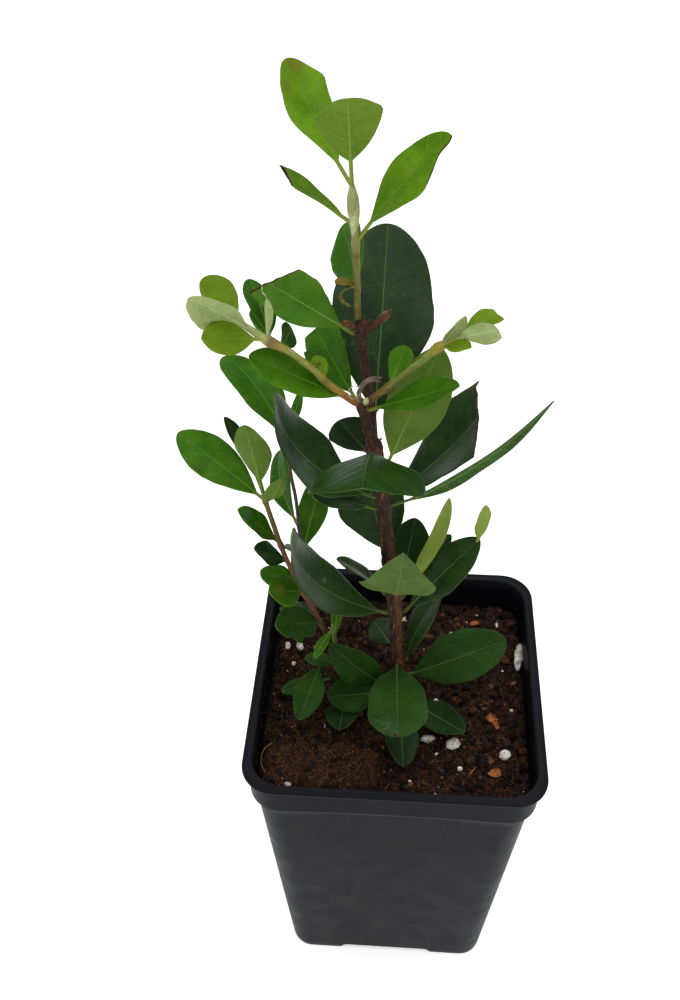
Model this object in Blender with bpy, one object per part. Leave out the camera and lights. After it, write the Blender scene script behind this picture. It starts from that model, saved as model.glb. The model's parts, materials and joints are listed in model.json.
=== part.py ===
# A young feijoa in a square nursery pot. The origin is the centre of the pot's underside, +Z is up
# and the front of the pot faces -Y. Lengths are written in millimetres and angles in degrees.
import math
import random
from dataclasses import dataclass

import bmesh
import bpy
from mathutils import Matrix, Vector, noise

MM = 0.001
GAP = 0.3

# driving dimensions of the pot
POT_HEIGHT = 120.0
RIM_HALF = 44.5
LIP_REACH = 1.5
LIP_DEPTH = 1.6
WALL = 1.4
LEDGE_HEIGHT = 106.9
LEDGE_STEP = 1.4
BODY_TOP_HALF = 41.4
BODY_BOTTOM_HALF = 34.3
CORNER_RADIUS = 10.0
CORNER_SHRINK = 0.25
CORNER_STEPS = 5
FLOOR_TOP = 5.0
FOOT_ROUNDING = 1.0
NOTCH_HEIGHT = 3.0
NOTCH_WIDTH = 29.0
NOTCH_SLOPE = 3.0
MIDDLE_PAD_HALF = 12.0
DRAIN_RADIUS = 3.0
DRAIN_REACH = 22.0
DRAIN_SIDES = 12

# driving dimensions of the soil
SOIL_HEIGHT = 107.6
SOIL_EDGE_DROP = 0.2
SOIL_BUMP = 1.3
SOIL_BUMP_PITCH = 7.7
SOIL_RINGS = (0.82, 0.62, 0.42, 0.22)
MOUND_CENTRE = (-24.0, -27.0)
MOUND_REACH = (20.0, 8.0)
MOUND_RISE = 2.2
GRAIN_SEED = 11
GRAIN_COUNT = 12
GRAIN_SIZES = (1.2, 2.2)
GRAIN_SHAPE = (1.0, 0.8, 0.7)
GRAIN_REACH = (0.45, 0.85)

# driving dimensions of the plant
BLADE_THICKNESS = 0.66
STALK_THICKNESS = 1.0
STALK_HALF_WIDTH = 0.5
STALK_FADE = 0.1
TIP_HALF_WIDTH = 0.36
STEM_HOLE_CLEARANCE = 0.35
STEM_HOLE_TOP = 135.0
TRUNK_SIDES = 10
STEM_SIDES = 8
SHARP_ANGLE = 40.0
LONG_LEAF = 20.0
LONG_LEAF_STEPS = 8
SHORT_LEAF_STEPS = 6

# each stem is a run of points with its radius there: x, y, z, radius
STEMS = {
    "trunk": (
        (0.3, 0.0, 90.0, 2.0), (0.3, 0.0, 107.8, 2.2), (-0.3, 0.0, 129.0, 2.1), (-1.1, 0.0, 145.6, 2.0),
        (-1.8, 0.0, 154.5, 2.0), (-4.0, 0.0, 173.2, 1.9), (-5.9, 0.0, 194.1, 1.9), (-6.4, 0.0, 200.0, 1.7),
        (-8.4, 0.0, 212.0, 1.9), (-9.2, 0.0, 215.5, 1.6), (-9.8, 1.0, 226.5, 1.1),
        (-12.0, 1.0, 242.7, 1.1), (-12.1, 0.0, 248.4, 1.6), (-12.4, 0.0, 250.0, 1.2),
    ),
    "spur": (
        (-8.8, 0.0, 213.6, 1.3), (-10.6, -2.4, 222.6, 1.2), (-11.8, -4.0, 228.8, 1.5),
    ),
    "left stub": (
        (-12.0, 0.0, 248.2, 1.0), (-16.0, -0.5, 249.6, 0.7),
    ),
    "middle stub": (
        (-12.3, -0.5, 248.0, 0.9), (-10.9, -1.5, 251.2, 0.7),
    ),
    "right stub": (
        (-11.8, 0.0, 247.8, 1.0), (-8.6, 0.3, 249.4, 0.9), (-6.0, 0.5, 252.2, 1.0),
    ),
    "dead stub": (
        (-11.7, -3.9, 227.6, 0.7), (-12.3, -5.0, 233.0, 0.6), (-11.1, -5.3, 236.1, 0.6),
        (-9.2, -5.3, 237.5, 0.6), (-7.1, -5.1, 237.3, 0.8),
    ),
    "leader": (
        (-12.9, 0.2, 250.6, 0.8), (-13.1, 0.0, 259.5, 0.9), (-13.3, 0.0, 266.3, 1.1),
        (-13.6, 0.0, 272.8, 1.0), (-13.9, 0.0, 277.5, 1.5), (-14.1, 0.0, 280.6, 1.2),
        (-14.2, 0.0, 283.6, 0.6),
    ),
    "left branch": (
        (-13.7, -4.5, 230.2, 0.9), (-19.2, -4.5, 234.8, 0.9), (-23.3, -4.5, 239.3, 0.8),
        (-28.4, -4.3, 243.8, 0.8), (-33.4, -4.0, 246.5, 1.0), (-38.4, -4.0, 250.4, 0.8),
        (-41.3, -4.0, 252.4, 0.6),
    ),
    "right branch": (
        (-9.9, -4.1, 230.1, 0.9), (-7.3, -4.0, 232.6, 0.8), (-5.4, -4.0, 234.1, 1.0),
        (-2.7, -4.0, 237.2, 0.8), (1.8, -4.0, 241.9, 0.8), (5.5, -4.0, 246.0, 1.0),
        (8.8, -4.0, 248.0, 0.7), (10.9, -4.0, 249.7, 0.6),
    ),
    "side stem": (
        (-14.2, 2.8, 94.0, 0.9), (-14.9, 2.5, 108.0, 0.9), (-18.6, 1.2, 126.3, 0.8),
        (-23.8, 0.3, 142.8, 0.8), (-28.6, 0.0, 156.6, 0.8), (-32.0, 0.0, 167.0, 0.7),
        (-34.5, 0.0, 177.0, 0.7), (-36.5, 0.0, 186.9, 0.7), (-38.0, 0.0, 194.6, 0.6),
    ),
    "thin stem": (
        (-28.6, 0.0, 156.0, 0.6), (-28.4, 1.0, 169.5, 0.6), (-28.9, 1.0, 181.8, 0.5),
        (-29.4, 1.5, 191.5, 0.5), (-30.3, 2.0, 198.2, 0.5), (-30.8, 2.0, 204.5, 0.5),
        (-30.6, 2.0, 210.6, 0.5),
    ),
    "basal stem": (
        (-14.6, -1.6, 96.0, 0.7), (-15.2, -1.4, 108.0, 0.7), (-18.2, -1.2, 124.4, 0.6),
        (-19.4, -1.6, 137.4, 0.6), (-19.9, -2.0, 145.0, 0.5),
    ),
    "twig": (
        (-15.4, -1.4, 110.0, 0.6), (-20.6, -1.0, 117.4, 0.6), (-24.3, -1.0, 124.8, 0.5),
    ),
}

COLOURS = {
    "black plastic": ((0.018, 0.019, 0.021), 0.6),
    "soil": ((0.055, 0.032, 0.02), 0.95),
    "bark": ((0.16, 0.085, 0.05), 0.8),
    "young shoot": ((0.24, 0.34, 0.08), 0.6),
    "woolly shoot": ((0.42, 0.46, 0.2), 0.7),
    "side shoot": ((0.14, 0.24, 0.05), 0.6),
    "dark leaf": ((0.03, 0.085, 0.03), 0.42),
    "green leaf": ((0.07, 0.2, 0.035), 0.5),
    "pale leaf": ((0.25, 0.34, 0.14), 0.65),
}


@dataclass
class Leaf:
    """A blade on its stalk. heading, rise and roll aim the straight line from its foot to its tip; a positive
    bend curls the tip down, and a positive fold lifts both margins. widest is the broadest place along the
    blade, taper and blunt round its foot and its end, and cut shortens the left and right margin."""
    stem: str
    height: float
    heading: float
    rise: float
    roll: float
    length: float
    width: float
    bend: float = 0.0
    fold: float = 12.0
    widest: float = 0.55
    taper: float = 1.0
    blunt: float = 0.55
    stalk: float = 2.5
    cut: tuple = (1.0, 1.0)


# leaves that sit on the trunk one by one, each clear of the bark: node name, colour, leaf
TRUNK_LEAVES = (
    ("upper_leaf_cut", "green leaf",
     Leaf("trunk", 246.0, 167, 26, -27, 30, 14, 1, stalk=3, widest=0.5, cut=(0.84, 0.6))),
    ("fork_leaf_back", "green leaf",
     Leaf("spur", 227.6, 118, 15, -50, 30, 12, 12, stalk=3, cut=(0.85, 0.85))),
    ("fork_leaf_right", "green leaf", Leaf("spur", 227.8, -22, 33, 17, 26, 9.5, 0)),
    ("knot_leaf_back", "dark leaf", Leaf("trunk", 214.5, 88, 40, 7, 56, 27, 13, stalk=5)),
    ("knot_leaf_front", "dark leaf",
     Leaf("trunk", 212.5, -93, 26, 5, 32, 28.5, 34, fold=-15, widest=0.75, blunt=0.4, stalk=3)),
    ("high_leaf_right", "pale leaf", Leaf("trunk", 206.4, 19, 70, -111, 36, 15.5, -8, fold=-12)),
    ("high_leaf_left", "dark leaf", Leaf("trunk", 207.0, 127, 8, -4, 15.5, 13, -7)),
    ("mid_leaf_left", "dark leaf",
     Leaf("trunk", 195.5, 191, 57, -21, 48, 18.5, -78, widest=0.42, blunt=0.85)),
    ("mid_leaf_right", "dark leaf",
     Leaf("trunk", 195.5, 25, 45, -11, 45, 25, -37, widest=0.5, taper=0.8, cut=(0.82, 0.54))),
    ("mid_leaf_long", "green leaf",
     Leaf("trunk", 192.4, 4, 42, -66, 52, 6.5, -29, fold=-20, widest=0.4, blunt=0.9)),
    ("mid_leaf_small", "dark leaf", Leaf("trunk", 191.5, 197, 26, -1, 18.5, 9, 13)),
    ("low_leaf_back", "dark leaf", Leaf("trunk", 170.0, 112, 52, -40, 29, 21, 18, widest=0.5, taper=0.8)),
    ("low_leaf_front", "pale leaf",
     Leaf("trunk", 162.5, -76, 70, -14, 27.5, 21, -95, fold=8, widest=0.36, blunt=0.9, stalk=2)),
    ("low_leaf_left", "dark leaf",
     Leaf("trunk", 149.6, 199, 58, -24, 55, 17, -89, widest=0.5, taper=0.8, blunt=0.8)),
    ("low_leaf_left_small", "dark leaf", Leaf("trunk", 156.0, 165, 34, 24, 18, 9, 25)),
    ("low_leaf_upright", "dark leaf", Leaf("trunk", 153.6, 71, 58, 21, 24, 12.5, 13)),
    ("low_leaf_pale", "pale leaf", Leaf("trunk", 155.8, 36, 64, -100, 34, 6.5, -21, fold=-20)),
    ("low_leaf_behind", "dark leaf", Leaf("trunk", 152.7, 47, 32, -3, 24, 8, 7)),
    ("foot_leaf_tall", "dark leaf", Leaf("trunk", 125.8, 17, 71, 10, 31, 9, 27, stalk=1.5)),
    ("foot_leaf_back", "dark leaf", Leaf("trunk", 129.2, 113, -19, -25, 17.5, 9.5, 6)),
    ("foot_leaf_left", "green leaf", Leaf("trunk", 115.0, 193, 53, -80, 31, 11.5, 44, blunt=0.7)),
    ("foot_leaf_front", "green leaf",
     Leaf("trunk", 127.5, -88, 4, 4, 28.5, 18, 62, widest=0.68, blunt=0.4, taper=0.8, stalk=1)),
    ("foot_leaf_right", "green leaf", Leaf("trunk", 119.2, 4, 30, 45, 35, 16, 45, stalk=3)),
    ("foot_leaf_right_low", "dark leaf", Leaf("trunk", 111.5, -41, 11, 10, 25, 10.5, -15, stalk=3)),
    ("foot_leaf_front_low", "dark leaf", Leaf("trunk", 111.5, -85, 2, -10, 26, 10.5, 17, stalk=4)),
    ("foot_leaf_left_low", "green leaf", Leaf("trunk", 112.0, 204, 19, -26, 21.5, 12, -4, stalk=3)),
)

# the low right leaf ends in a pale curl, which grows out of its tip
LOW_RIGHT_LEAF = Leaf("trunk", 148.7, 13, 53, 32, 34, 12, 8)
LOW_RIGHT_CURL = Leaf("low right tip", 176.0, -43, 84, -19, 15, 5, -28, stalk=0.5)

# shoots that hold together as one piece: node name, colour, stems, leaves
SHOOTS = (
    ("leader_shoot", "young shoot", ("leader",), (
        Leaf("leader", 282.9, 127, 38, 7, 31, 12.5, -18, stalk=6),
        Leaf("leader", 282.9, -90, 59, 10, 28.5, 13, 16, widest=0.6, blunt=0.5, taper=0.8, stalk=8),
        Leaf("leader", 269.7, -5, 53, 29, 32, 12, 17, stalk=6),
        Leaf("leader", 274.0, 144, 16, 17, 26, 7, 1, stalk=3, cut=(0.62, 0.92)),
        Leaf("leader", 258.3, 101, 3, -54, 26.5, 12.5, -16),
        Leaf("leader", 258.5, 200, 25, 0, 6, 3.5, 60, stalk=1),
    )),
    ("left_branch", "woolly shoot", ("left branch",), (
        Leaf("left branch", 230.6, 184, 29, -22, 27, 11.5, -4),
        Leaf("left branch", 236.0, 123, 40, -9, 6.5, 4.5, 9, stalk=0.5),
        Leaf("left branch", 246.3, 106, 14, -11, 13.5, 6.5, 2, stalk=1),
        Leaf("left branch", 246.2, 111, 16, 14, 20, 7, 19, stalk=2),
        Leaf("left branch", 245.0, 81, -8, 61, 10, 6.5, 6, stalk=1),
        Leaf("left branch", 246.6, -105, 96, -3, 10.5, 3, 10, fold=40, stalk=1),
        Leaf("left branch", 247.5, 199, 40, 72, 20.5, 10.5, 20, fold=-20, widest=0.6, blunt=0.45, stalk=4),
        Leaf("left branch", 250.4, 140, 29, -7, 15, 8.5, 6, widest=0.6, blunt=0.45),
        Leaf("left branch", 246.9, 210, 18, -38, 16, 9, -4, widest=0.6),
        Leaf("left branch", 239.0, 89, -2, 6, 9.5, 6, -1, stalk=1),
    )),
    ("right_branch", "woolly shoot", ("right branch",), (
        Leaf("right branch", 234.4, 61, 43, 9, 10.5, 6, 9, widest=0.65, blunt=0.45, stalk=1),
        Leaf("right branch", 246.2, -5, 58, -59, 10.5, 4.5, 10, fold=-25, stalk=1),
        Leaf("right branch", 248.4, -33, 32, -72, 14.5, 6.5, 22, fold=-12, stalk=1, cut=(0.85, 0.85)),
        Leaf("right branch", 249.4, 34, 10, 2, 12.5, 6.5, 24, stalk=1, cut=(0.85, 0.85)),
        Leaf("right branch", 246.5, -34, 21, 17, 8.5, 4.5, 5, stalk=1),
    )),
    ("side_shoot", "side shoot", ("side stem", "thin stem"), (
        Leaf("side stem", 192.1, 147, 16, -25, 32, 12, 18),
        Leaf("side stem", 192.1, -118, 79, 19, 30.5, 9.5, 2, stalk=8),
        Leaf("side stem", 194.2, 125, 31, 25, 24.5, 6, 23, stalk=5),
        Leaf("side stem", 192.1, -33, 61, -44, 13.5, 5.5, -50, stalk=0.5),
        Leaf("side stem", 175.5, 197, 56, -22, 19.5, 7.5, 9),
        Leaf("side stem", 175.5, 28, -52, -7, 10.5, 6, 10, stalk=1),
        Leaf("side stem", 168.6, 196, 40, -12, 12, 8, -7, stalk=1),
        Leaf("side stem", 157.1, 162, 14, -12, 13.5, 8, 6, stalk=1),
        Leaf("side stem", 156.2, 218, 33, -29, 13.5, 10.5, 8, stalk=1),
        Leaf("side stem", 142.2, 214, 28, -34, 17, 12.5, 21, stalk=1),
        Leaf("side stem", 145.8, 161, -7, 9, 12, 7, 6, stalk=1),
        Leaf("thin stem", 181.8, 108, 18, -52, 26, 9, 45),
        Leaf("thin stem", 169.5, 77, 30, -12, 25, 10, 17),
        Leaf("thin stem", 210.0, 127, 15, 8, 35, 13.5, 48),
        Leaf("thin stem", 210.0, 81, 26, -31, 17, 4, 10),
    )),
    ("basal_shoot", "side shoot", ("basal stem", "twig"), (
        Leaf("twig", 124.2, -104, -4, -18, 21, 9, 28, stalk=1),
        Leaf("basal stem", 111.0, -95, 2, 8, 15, 11, 12, taper=0.8, stalk=1),
        Leaf("twig", 117.4, 201, -1, -19, 16.5, 5.5, 1, stalk=3),
        Leaf("basal stem", 124.4, 173, 6, 4, 11, 6, 25, stalk=1),
        Leaf("basal stem", 137.4, 87, 28, 0, 11.5, 3.5, 10, stalk=1),
        Leaf("basal stem", 143.0, -117, -16, 4, 11, 3.5, 13, stalk=1),
    )),
)


def clear_scene():
    for leftover in list(bpy.data.objects):
        bpy.data.objects.remove(leftover, do_unlink=True)


def material(name):
    found = bpy.data.materials.get(name)
    if found:
        return found
    colour, roughness = COLOURS[name]
    made = bpy.data.materials.new(name)
    made.use_nodes = True
    shader = made.node_tree.nodes["Principled BSDF"]
    shader.inputs["Base Color"].default_value = (*colour, 1.0)
    shader.inputs["Roughness"].default_value = roughness
    shader.inputs["Metallic"].default_value = 0.0
    made.diffuse_color = (*colour, 1.0)
    return made


def add_object(name, points, faces, colour=None, collection=None):
    """An object from points in millimetres, with its faces turned outwards."""
    mesh = bpy.data.meshes.new(name)
    mesh.from_pydata([Vector(point) * MM for point in points], [], faces)
    work = bmesh.new()
    work.from_mesh(mesh)
    bmesh.ops.recalc_face_normals(work, faces=work.faces)
    work.to_mesh(mesh)
    work.free()
    made = bpy.data.objects.new(name, mesh)
    (collection or bpy.context.scene.collection).objects.link(made)
    if colour:
        mesh.materials.append(material(colour))
    mesh.shade_smooth()
    mesh.set_sharp_from_angle(angle=math.radians(SHARP_ANGLE))
    return made


def guide(thing):
    thing.hide_render = True
    thing.display_type = "WIRE"
    return thing


def apply_modifiers(thing):
    """Puts the evaluated mesh in place of the object's own."""
    evaluated = thing.evaluated_get(bpy.context.evaluated_depsgraph_get())
    mesh = bpy.data.meshes.new_from_object(evaluated)
    thing.modifiers.clear()
    thing.data = mesh


def boolean(thing, operation, others):
    """Joins or cuts thing with every object of a collection, then removes them."""
    step = thing.modifiers.new(operation.lower(), "BOOLEAN")
    step.operation = operation
    step.operand_type = "COLLECTION"
    step.collection = others
    step.solver = "EXACT"
    apply_modifiers(thing)
    for other in list(others.objects):
        bpy.data.objects.remove(other, do_unlink=True)
    bpy.data.collections.remove(others)


def new_collection(name):
    made = bpy.data.collections.new(name)
    bpy.context.scene.collection.children.link(made)
    return made


# closed shapes: a stack of rings, and a tube along a stem

def stack_faces(ring_count, ring_size):
    """Side quads between rings that follow each other, and a face over each end."""
    faces = []
    for ring in range(ring_count - 1):
        for place in range(ring_size):
            here, after = ring * ring_size + place, ring * ring_size + (place + 1) % ring_size
            faces.append((here, after, after + ring_size, here + ring_size))
    faces.append(tuple(range(ring_size)))
    faces.append(tuple(range((ring_count - 1) * ring_size, ring_count * ring_size)))
    return faces


def corner_radius(half):
    """The corner radius of a level square of the pot, smaller towards its foot."""
    return CORNER_RADIUS - (RIM_HALF - half) * CORNER_SHRINK


def rounded_square(half, height, radius):
    ring = []
    for corner in range(4):
        turn = Matrix.Rotation(math.radians(90 * corner), 3, "Z")
        middle = turn @ Vector((half - radius, half - radius, height))
        for step in range(CORNER_STEPS + 1):
            angle = math.radians(90 * corner + 90 * step / CORNER_STEPS)
            ring.append(middle + radius * Vector((math.cos(angle), math.sin(angle), 0)))
    return ring


def square_stack(name, profile, colour, collection=None):
    """A closed stack of rounded squares: half width and height of each."""
    points = []
    for half, height in profile:
        points += rounded_square(half, height, corner_radius(half))
    return add_object(name, points, stack_faces(len(profile), 4 * (CORNER_STEPS + 1)), colour, collection)


def tube(name, path, sides, colour=None, collection=None, extra=0.0):
    """A closed round tube along points with a radius at each."""
    centres = [Vector(point[:3]) for point in path]
    aim = (centres[1] - centres[0]).normalized()
    across = aim.orthogonal().normalized()
    points = []
    for place, centre in enumerate(centres):
        before, after = centres[max(place - 1, 0)], centres[min(place + 1, len(centres) - 1)]
        turned = (after - before).normalized()
        across = aim.rotation_difference(turned) @ across
        aim = turned
        other = aim.cross(across)
        for side in range(sides):
            angle = 2 * math.pi * side / sides
            reach = path[place][3] + extra
            points.append(centre + reach * (math.cos(angle) * across + math.sin(angle) * other))
    return add_object(name, points, stack_faces(len(centres), sides), colour, collection)


def stem_at(stem, height):
    """The stem's centre and radius at a height above the ground."""
    path = STEMS[stem]
    for low, high in zip(path, path[1:]):
        if low[2] <= height <= high[2]:
            share = (height - low[2]) / (high[2] - low[2])
            return Vector(low[:3]).lerp(Vector(high[:3]), share), low[3] + (high[3] - low[3]) * share
    raise ValueError(f"{stem} does not reach {height}")


# leaves

def leaf_axes(leaf):
    """Along the leaf, out of its upper face, and across it to the right margin."""
    rise, roll = math.radians(leaf.rise), math.radians(leaf.roll)
    out = Vector((math.cos(math.radians(leaf.heading)), math.sin(math.radians(leaf.heading)), 0))
    along = out * math.cos(rise) + Vector((0, 0, math.sin(rise)))
    level = -out * math.sin(rise) + Vector((0, 0, math.cos(rise)))
    upper = math.cos(roll) * level + math.sin(roll) * along.cross(level)
    return along, upper, along.cross(upper)


def half_width(leaf, reach):
    """Half the blade's width at a distance from the foot of the leaf."""
    blade = (reach - leaf.stalk) / (leaf.length - leaf.stalk)
    if blade <= 0:
        return STALK_HALF_WIDTH
    if blade < leaf.widest:
        share = math.sin(math.pi / 2 * blade / leaf.widest) ** leaf.taper
    else:
        share = max(math.cos(math.pi / 2 * (blade - leaf.widest) / (1 - leaf.widest)), 0) ** leaf.blunt
    floor = STALK_HALF_WIDTH if blade < leaf.widest else TIP_HALF_WIDTH
    return max(leaf.width / 2 * share, floor)


def leaf_point(leaf, foot, axes, share, side):
    """A point of the leaf's middle surface, and the direction out of its upper face."""
    along, upper, across = axes
    bend, fold = math.radians(leaf.bend), math.radians(leaf.fold)
    cut_left, cut_right = leaf.cut
    share *= cut_left + (cut_right - cut_left) * (side + 1) / 2
    turn = bend * (share - 0.5)
    if abs(bend) < 0.001:
        middle = foot + along * leaf.length * share
    else:
        arc = leaf.length / bend
        middle = foot + arc * (along * (math.sin(turn) + math.sin(bend / 2))
                               + upper * (math.cos(turn) - math.cos(bend / 2)))
    out = upper * math.cos(turn) + along * math.sin(turn)
    reach = half_width(leaf, share * leaf.length) * abs(side)
    sideways = across * math.copysign(1, side) * math.cos(fold)
    return middle + reach * (sideways + out * math.sin(fold)), out


def add_leaf(name, leaf, foot, colour=None, collection=None):
    """One closed leaf: three columns of points on each face, split alike into triangles."""
    axes = leaf_axes(leaf)
    steps = LONG_LEAF_STEPS if leaf.length > LONG_LEAF else SHORT_LEAF_STEPS
    stalk_share = leaf.stalk / leaf.length
    shares = [0.0] + [stalk_share + (1 - stalk_share) * (1 - math.cos(math.pi * step / steps)) / 2
                      for step in range(steps + 1)]
    points = []
    for share in shares:
        swell = max(0.0, 1 - share / (stalk_share + STALK_FADE))
        thickness = BLADE_THICKNESS + (STALK_THICKNESS - BLADE_THICKNESS) * swell
        half = thickness / 2 / math.cos(math.radians(leaf.fold))
        for face in (1, -1):
            for side in (-1, 0, 1):
                middle, out = leaf_point(leaf, foot, axes, share, side)
                points.append(middle + face * half * out)
    faces = []
    for place in range(len(shares) - 1):
        start = 6 * place
        for face in (0, 3):
            for column in (0, 1):
                near = start + face + column
                faces += [(near, near + 1, near + 7), (near, near + 7, near + 6)]
        for left in (start, start + 2):
            faces += [(left, left + 6, left + 9), (left, left + 9, left + 3)]
    last = 6 * (len(shares) - 1)
    for end in (0, last):
        faces += [(end, end + 1, end + 4, end + 3), (end + 1, end + 2, end + 5, end + 4)]
    return add_object(name, points, faces, colour, collection)


def foot_on_bark(leaf):
    """Where a leaf starts that stays clear of the stem it grows on."""
    centre, radius = stem_at(leaf.stem, leaf.height)
    heading = math.radians(leaf.heading)
    return centre + (radius + GAP + STALK_THICKNESS / 2) * Vector((math.cos(heading), math.sin(heading), 0))


# the pot and its soil

def inner_profile(clearance):
    """The pot's inside from the floor up to the ledge, drawn in by a clearance."""
    body = (BODY_BOTTOM_HALF - WALL - clearance, FLOOR_TOP + clearance)
    ledge = (BODY_TOP_HALF - WALL - clearance, LEDGE_HEIGHT - WALL + clearance)
    collar = (BODY_TOP_HALF + LEDGE_STEP - WALL - clearance, LEDGE_HEIGHT + clearance)
    return body, ledge, collar


def add_notch(turn, collection):
    """One raised channel in from the middle of a bottom edge, with sloped ends."""
    foot, top, reach = NOTCH_WIDTH / 2 + NOTCH_SLOPE, NOTCH_WIDTH / 2, BODY_BOTTOM_HALF + 2
    section = (
        (-foot, -1.0), (foot, -1.0), (foot, 0.0), (top, NOTCH_HEIGHT), (-top, NOTCH_HEIGHT), (-foot, 0.0),
    )
    rotate = Matrix.Rotation(math.radians(turn), 3, "Z")
    points = [rotate @ Vector((across, outward, height))
              for outward in (-reach, -MIDDLE_PAD_HALF) for across, height in section]
    guide(add_object("notch", points, stack_faces(2, len(section)), None, collection))


def add_drain(turn, collection):
    """One drain hole through the floor inside a notch."""
    centre = Matrix.Rotation(math.radians(turn), 3, "Z") @ Vector((0, -DRAIN_REACH, 0))
    path = [(centre.x, centre.y, height, DRAIN_RADIUS) for height in (-1.0, FLOOR_TOP + 1)]
    guide(tube("drain", path, DRAIN_SIDES, None, collection))


def add_pot():
    body, ledge, collar = inner_profile(0.0)
    collar_half = RIM_HALF - LIP_REACH
    profile = (
        (BODY_BOTTOM_HALF - FOOT_ROUNDING, 0.0),
        (BODY_BOTTOM_HALF, FOOT_ROUNDING),
        (BODY_TOP_HALF, LEDGE_HEIGHT - WALL),
        (BODY_TOP_HALF + LEDGE_STEP, LEDGE_HEIGHT),
        (collar_half, POT_HEIGHT - LIP_DEPTH),
        (RIM_HALF, POT_HEIGHT - LIP_DEPTH + 0.4),
        (RIM_HALF, POT_HEIGHT - 0.8),
        (RIM_HALF - 0.8, POT_HEIGHT),
        (collar_half - WALL + 0.6, POT_HEIGHT),
        (collar_half - WALL, POT_HEIGHT - 0.8),
        collar,
        ledge,
        body,
    )
    pot = square_stack("pot", profile, "black plastic")
    cuts = new_collection("pot cuts")
    for turn in (0, 90, 180, 270):
        add_notch(turn, cuts)
        add_drain(turn, cuts)
    boolean(pot, "DIFFERENCE", cuts)


def soil_rise(place):
    """How far the soil stands over its usual height at a place."""
    bump = SOIL_BUMP * noise.noise(Vector((place.x, place.y, 0)) / SOIL_BUMP_PITCH)
    across = (place.x - MOUND_CENTRE[0]) / MOUND_REACH[0]
    back = (place.y - MOUND_CENTRE[1]) / MOUND_REACH[1]
    return bump + MOUND_RISE * math.exp(-across ** 2 - back ** 2)


def add_soil():
    """The filling, with rings of bumpy ground on top, perlite pressed in and a hole for each stem."""
    body, ledge, collar = inner_profile(GAP)
    edge = collar[0]
    profile = (body, ledge, collar, (edge, SOIL_HEIGHT - SOIL_EDGE_DROP))
    points = []
    for half, height in profile:
        points += rounded_square(half, height, corner_radius(half))
    for share in SOIL_RINGS:
        for corner in rounded_square(edge * share, SOIL_HEIGHT, CORNER_RADIUS * share):
            points.append(corner + Vector((0, 0, soil_rise(corner))))
    rings = len(profile) + len(SOIL_RINGS)
    soil = add_object("potting_soil", points, stack_faces(rings, 4 * (CORNER_STEPS + 1)), "soil")
    grains = new_collection("grains")
    draw = random.Random(GRAIN_SEED)
    for number in range(GRAIN_COUNT):
        angle = draw.uniform(0, 2 * math.pi)
        centre = Vector((math.cos(angle), math.sin(angle), 0)) * draw.uniform(*GRAIN_REACH) * edge
        centre.z = SOIL_HEIGHT + soil_rise(centre)
        size = draw.uniform(*GRAIN_SIZES)
        shape = Matrix.Diagonal([size * share for share in GRAIN_SHAPE] + [1])
        place = Matrix.Translation(centre) @ Matrix.Rotation(angle, 4, "X") @ shape
        work = bmesh.new()
        bmesh.ops.create_icosphere(work, subdivisions=1, radius=1.0, matrix=place)
        points = [corner.co.copy() for corner in work.verts]
        faces = [[corner.index for corner in face.verts] for face in work.faces]
        work.free()
        add_object(f"grain {number}", points, faces, None, grains)
    boolean(soil, "UNION", grains)
    holes = new_collection("stem holes")
    for stem, sides in (("trunk", TRUNK_SIDES), ("side stem", STEM_SIDES), ("basal stem", STEM_SIDES)):
        path = [point for point in STEMS[stem] if point[2] < STEM_HOLE_TOP]
        x, y, z, radius = path[0]
        path[0] = (x, y, z - 1, radius)
        guide(tube(f"{stem} hole", path, sides, None, holes, STEM_HOLE_CLEARANCE))
    boolean(soil, "DIFFERENCE", holes)


# the plant

def add_trunk():
    trunk = tube("trunk", STEMS["trunk"], TRUNK_SIDES, "bark")
    parts = new_collection("trunk parts")
    for stem in ("spur", "left stub", "middle stub", "right stub", "dead stub"):
        tube(stem, STEMS[stem], STEM_SIDES, None, parts)
    boolean(trunk, "UNION", parts)


def add_trunk_leaves():
    for name, colour, leaf in TRUNK_LEAVES:
        add_leaf(name, leaf, foot_on_bark(leaf), colour)


def add_low_right_leaf():
    foot = foot_on_bark(LOW_RIGHT_LEAF)
    blade = add_leaf("low_leaf_right", LOW_RIGHT_LEAF, foot, "dark leaf")
    tip, _ = leaf_point(LOW_RIGHT_LEAF, foot, leaf_axes(LOW_RIGHT_LEAF), 0.97, 0)
    parts = new_collection("curl")
    add_leaf("curl", LOW_RIGHT_CURL, tip, None, parts)
    boolean(blade, "UNION", parts)


def add_shoot(name, colour, stems, leaves):
    shoot = tube(name, STEMS[stems[0]], STEM_SIDES, colour)
    parts = new_collection(f"{name} parts")
    for stem in stems[1:]:
        tube(stem, STEMS[stem], STEM_SIDES, None, parts)
    for number, leaf in enumerate(leaves):
        centre, _ = stem_at(leaf.stem, leaf.height)
        add_leaf(f"{name} leaf {number}", leaf, centre, None, parts)
    boolean(shoot, "UNION", parts)


clear_scene()
add_pot()
add_soil()
add_trunk()
add_trunk_leaves()
add_low_right_leaf()
for shoot_name, shoot_colour, shoot_stems, shoot_leaves in SHOOTS:
    add_shoot(shoot_name, shoot_colour, shoot_stems, shoot_leaves)
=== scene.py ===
# Looks of a young feijoa in a square nursery pot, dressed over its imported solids.
# Lengths are in millimetres and angles in degrees, in the same frame as the solids.
import json
import math
import random

import bmesh
import bpy
import numpy as np
from mathutils import Matrix, Vector, noise

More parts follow.
